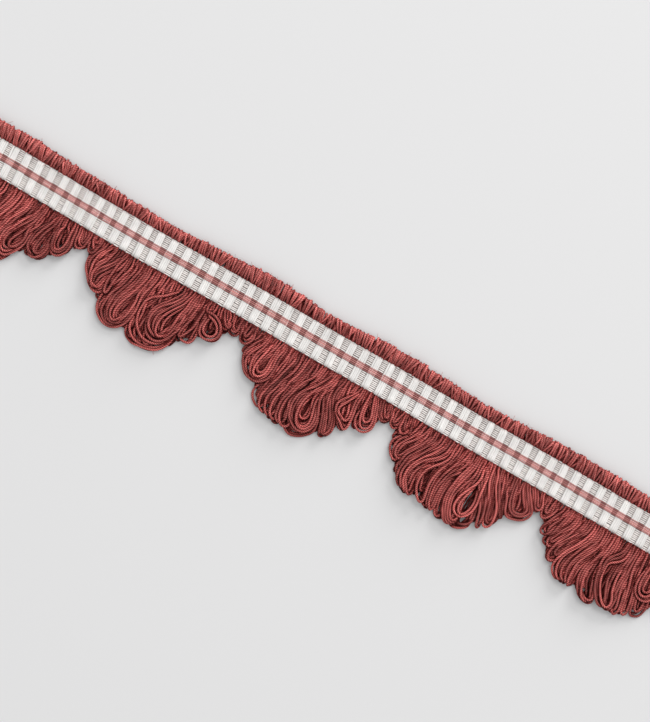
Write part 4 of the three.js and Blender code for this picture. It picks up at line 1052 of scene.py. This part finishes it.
def loop_line(root, tip, reach, near, far, wide, neck, crossed, level):
    """A loop's yarn in the scallop's own measure: down one leg, round its turn and up the other leg."""
    share = np.linspace(0, 1, 60)[:, None]
    knots = [
        np.array([root, -ROOT_UNDER_BAND]),
        np.array([root + near, reach / 3]),
        np.array([tip + far, 2 * reach / 3]),
        np.array([tip, reach - YARN_RADIUS]),
    ]
    spine = (
        (1 - share) ** 3 * knots[0]
        + 3 * share * (1 - share) ** 2 * knots[1]
        + 3 * share**2 * (1 - share) * knots[2]
        + share**3 * knots[3]
    )
    along = distances(spine)
    along /= along[-1]
    slope = np.gradient(spine, axis=0)
    slope /= np.linalg.norm(slope, axis=1)[:, None]

    def beside(at, off):
        way = interpolated(at, along, slope)
        return interpolated(at, along, spine) + off[:, None] * np.stack([-way[:, 1], way[:, 0]], axis=1)

    leg = np.linspace(0, neck, 14)
    apart = LEG_APART + 0.12 * np.sin(math.pi * leg / neck)
    turn = np.linspace(0.12 * math.pi, 1.88 * math.pi, LOOP_TURN_POINTS)
    drop = np.sin(turn) * np.abs(np.sin(turn / 2)) ** 0.9 * (wide / 2 - YARN_RADIUS) / 0.8
    down = neck + (1 - neck) * (1 - np.cos(turn)) / 2
    plan = np.concatenate([
        beside(leg, apart), beside(down, -drop if crossed else drop), beside(leg[::-1], -apart[::-1])
    ])
    height = np.full(len(plan), level)
    height[: len(leg)] += 0.35
    height[-len(leg) :] -= 0.35
    return np.concatenate([plan, height[:, None]], axis=1)


def lock_loop(row):
    """A smooth run of points through the given knots of one loop, from root to root."""
    roots = [(place, -ROOT_UNDER_BAND) for place in (row[0], row[-1])]
    knots = np.array([roots[0], *zip(row[1:-1:2], row[2:-1:2]), roots[1]], float)
    ends = np.concatenate([[2 * knots[0] - knots[1]], knots, [2 * knots[-1] - knots[-2]]])
    share = np.linspace(0, 1, 12, endpoint=False)[:, None]
    runs = []
    for before, near, far, after in zip(ends[:-3], ends[1:-2], ends[2:-1], ends[3:]):
        runs.append(
            0.5 * (
                2 * near
                + (far - before) * share
                + (2 * before - 5 * near + 4 * far - after) * share**2
                + (3 * near - before - 3 * far + after) * share**3
            )
        )
    run = np.concatenate(runs + [knots[-1:]])
    return even_count(run, LOCK_POINTS)


def lock_lines(count, level, back, outer, inner=None):
    """The loops of one lock, from its outermost to its innermost, each a little out of line."""
    outer = lock_loop(outer)
    inner = lock_loop(inner) if inner else outer
    along = np.linspace(0, 1, len(outer))
    turning = np.sin(math.pi * along) ** 2
    heights = np.interp(along, (0.3, 0.7), (LOCK_LEVELS[level], LOCK_LEVELS[back]))
    lines = []
    for place in range(count):
        share = place / (count - 1) if count > 1 else 0.0
        shares = np.clip(share + rng.normal(size=4) * LOCK_SPREAD / count, -0.04, 1.04)
        plan = outer + (inner - outer) * np.interp(along, (0, 0.35, 0.65, 1), shares)[:, None]
        knots = rng.normal(size=(7, 2)) * LOCK_WANDER
        knots[[0, -1]] = 0.0
        for axis in range(2):
            plan[:, axis] += np.interp(along, np.linspace(0, 1, 7), knots[:, axis])
        plan[:, 0] += LOCK_SHIFT * rng.normal() * turning
        plan[:, 1] += (LOCK_SHIFT * rng.normal() + LOCK_REACH_MORE) * turning
        height = heights - STAGGER * (place % 2)
        lines.append(np.concatenate([plan, height[:, None]], axis=1))
    return lines


fringe_lines, fringe_owner = [], []
for name, (first, last, rows) in SCALLOPS.items():
    rows = np.array(rows)
    loops = []
    for place in range(FAN_LOOPS):
        root = (last - first) * (place + 0.5) / FAN_LOOPS
        tip, reach, near, far, wide, neck = [np.interp(root, rows[:, 0], rows[:, k]) for k in range(1, 7)]
        chance = rng.normal(size=6)
        tip += 0.55 * chance[0] * min(1.0, reach / 15) + FAN_PULL * (1.0 - 2.0 * root / (last - first))
        reach += 0.4 * chance[1] - 0.5
        reach *= 1.0 if place % 2 else 0.84 + 0.12 * rng.random()
        near += 0.35 * chance[2]
        far += 0.5 * chance[3]
        wide *= 0.8 + 0.2 * rng.random()
        neck = min(max(neck + 0.06 * chance[4], 0.15), 0.6)
        level = FAN_LEVELS[(place * 2) % 3] + 0.1 * chance[5]
        loops.append(loop_line(root, tip, reach, near, far, wide, neck, rng.random() < 0.35, level))
    for lock in LOCKS[name]:
        loops.extend(lock_lines(*lock))
    for place, line in enumerate(loops):
        x = first + line[:, 0]
        y = band_middle(x) - BAND_HALF_WIDTH - line[:, 1]
        rise = np.clip((line[:, 1] + ROOT_UNDER_BAND) / ROOT_RISE, 0, 1)
        low = ROOT_HEIGHTS[place % 3]
        height = low + (line[:, 2] - low) * rise
        fringe_lines.append(even_points(np.stack([x, y, height], axis=1), SETTLE_STEP))
        fringe_owner.append(name)
fringe_lines = settled(fringe_lines, PACKED * YARN_RADIUS, rounds=220, hold=0.03, weight=0.02)
# Painted shade on the fringe: darker deep in the pile, in wide pockets and at the roots next to the band's
# edge, lighter on top
fringe_top = top_of(fringe_lines + [band_edge(-1)], 2 * YARN_RADIUS)
for name in SCALLOPS:
    lines = [
        even_points(line, FRINGE_RING_STEP, ease=3)
        for line, owner in zip(fringe_lines, fringe_owner)
        if owner == name
    ]
    fringe = yarn_piece(
        name + "_loops",
        lines,
        YARN_RADIUS,
        YARN_RADIUS,
        (0, 0, 1),
        terracotta_cotton,
        ply_groove=PLY_GROOVE,
        top=fringe_top,
    )
    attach(fringe, "root")
    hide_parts(name)

# The stray fibres: short fine cotton hairs that stand off the spun yarns all over, most seen along the
# edges of the heading and of the fringe, where they blur the outline.
STRAY_FIBRES = 4000
FIBRE_RADIUS = 0.045
FIBRE_LENGTH = (0.6, 1.8)
# A hair starts from any point of a yarn, and twice as often from the heading's yarns
fibre_homes = np.concatenate([line[2:-2] for line in heading_lines * 2 + fringe_lines])
fibre_homes = fibre_homes[rng.choice(len(fibre_homes), STRAY_FIBRES, replace=False)]
fibre_lines = []
for home in fibre_homes:
    way = rng.normal(size=3)
    way[2] = abs(way[2]) * 0.6
    way /= np.linalg.norm(way)
    curl = rng.normal(size=3) * 0.35
    out = np.linspace(0.3, rng.uniform(*FIBRE_LENGTH), 4)[:, None]
    hair = home + way * out + curl * out**2 * 0.5
    hair[:, 2] = np.maximum(hair[:, 2], 2 * FIBRE_RADIUS)
    hair[:, 0] = np.clip(hair[:, 0], -HALF_LENGTH, HALF_LENGTH)
    fibre_lines.append(hair)
# With no top given, the hairs' painted light value is 1 all over, so they are painted with the yarn's
# highlight colour in flecks
stray_fibres = yarn_piece(
    "stray_fibres", fibre_lines, FIBRE_RADIUS, FIBRE_RADIUS, (0.3, 0.5, 0.8), terracotta_cotton
)
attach(stray_fibres, "root")

# The table: a wide smooth sheet of pale grey board, which the trim lies on. It isn't part of the trim.
bpy.ops.mesh.primitive_plane_add(size=6.0, location=(0.0, 0.0, -0.00002))
table_top = bpy.context.object
table_top.name = "table_top"
board = bpy.data.materials.new("pale_board")
board.use_nodes = True
set_inputs(board.node_tree, board.node_tree.nodes["Principled BSDF"], {
    "Base Color": (0.8, 0.8, 0.805, 1.0),
    "Roughness": 0.9,
    "Specular IOR Level": 0.1,
})
table_top.data.materials.append(board)

# The light: an even white surround, with two large soft boxes to the upper right of the picture. The
# lower one rakes over the trim and draws its wide faint shadow towards the lower left.
surround = bpy.data.worlds.new("studio_surround")
bpy.context.scene.world = surround
surround.use_nodes = True
set_inputs(surround.node_tree, surround.node_tree.nodes["Background"], {
    "Color": (1.0, 1.0, 1.0, 1.0),
    "Strength": 0.63,
})
PICTURE_TURN = math.radians(30)
SOFT_BOX_SIZE = 1.4
SOFT_BOX_DISTANCE = 3.0
# Which way in the picture each box stands, how many degrees it is raised, and its power in watts
for name, angle, rise, power in (("high_soft_box", 52, 50, 19.0), ("low_soft_box", 48, 16, 68.0)):
    lamp = bpy.data.lights.new(name, "AREA")
    lamp.size = SOFT_BOX_SIZE
    lamp.energy = power
    lamp.color = (1.0, 0.995, 0.985)
    box = bpy.data.objects.new(name, lamp)
    bpy.context.scene.collection.objects.link(box)
    turn, lift = math.radians(angle) + PICTURE_TURN, math.radians(rise)
    away = Vector((math.cos(turn) * math.cos(lift), math.sin(turn) * math.cos(lift), math.sin(lift)))
    box.location = SOFT_BOX_DISTANCE * away
    box.rotation_euler = (-away).to_track_quat("-Z", "Y").to_euler()

# The camera looks straight down on the trim, turned so that the trim runs down across the picture.
PICTURE_HEIGHT = 0.25992
CAMERA_HEIGHT = 0.75
lens = bpy.data.cameras.new("photo_camera")
lens.sensor_width = 36.0
lens.lens = 36.0 * CAMERA_HEIGHT / PICTURE_HEIGHT
lens.clip_start = 0.05
lens.clip_end = 10.0
camera = bpy.data.objects.new("photo_camera", lens)
bpy.context.scene.collection.objects.link(camera)
camera.location = (0.00052, 0.00644, CAMERA_HEIGHT)
camera.rotation_euler = (0.0, 0.0, PICTURE_TURN)
bpy.context.scene.camera = camera
bpy.context.scene.view_settings.view_transform = "Standard"
bpy.context.scene.view_settings.look = "None"
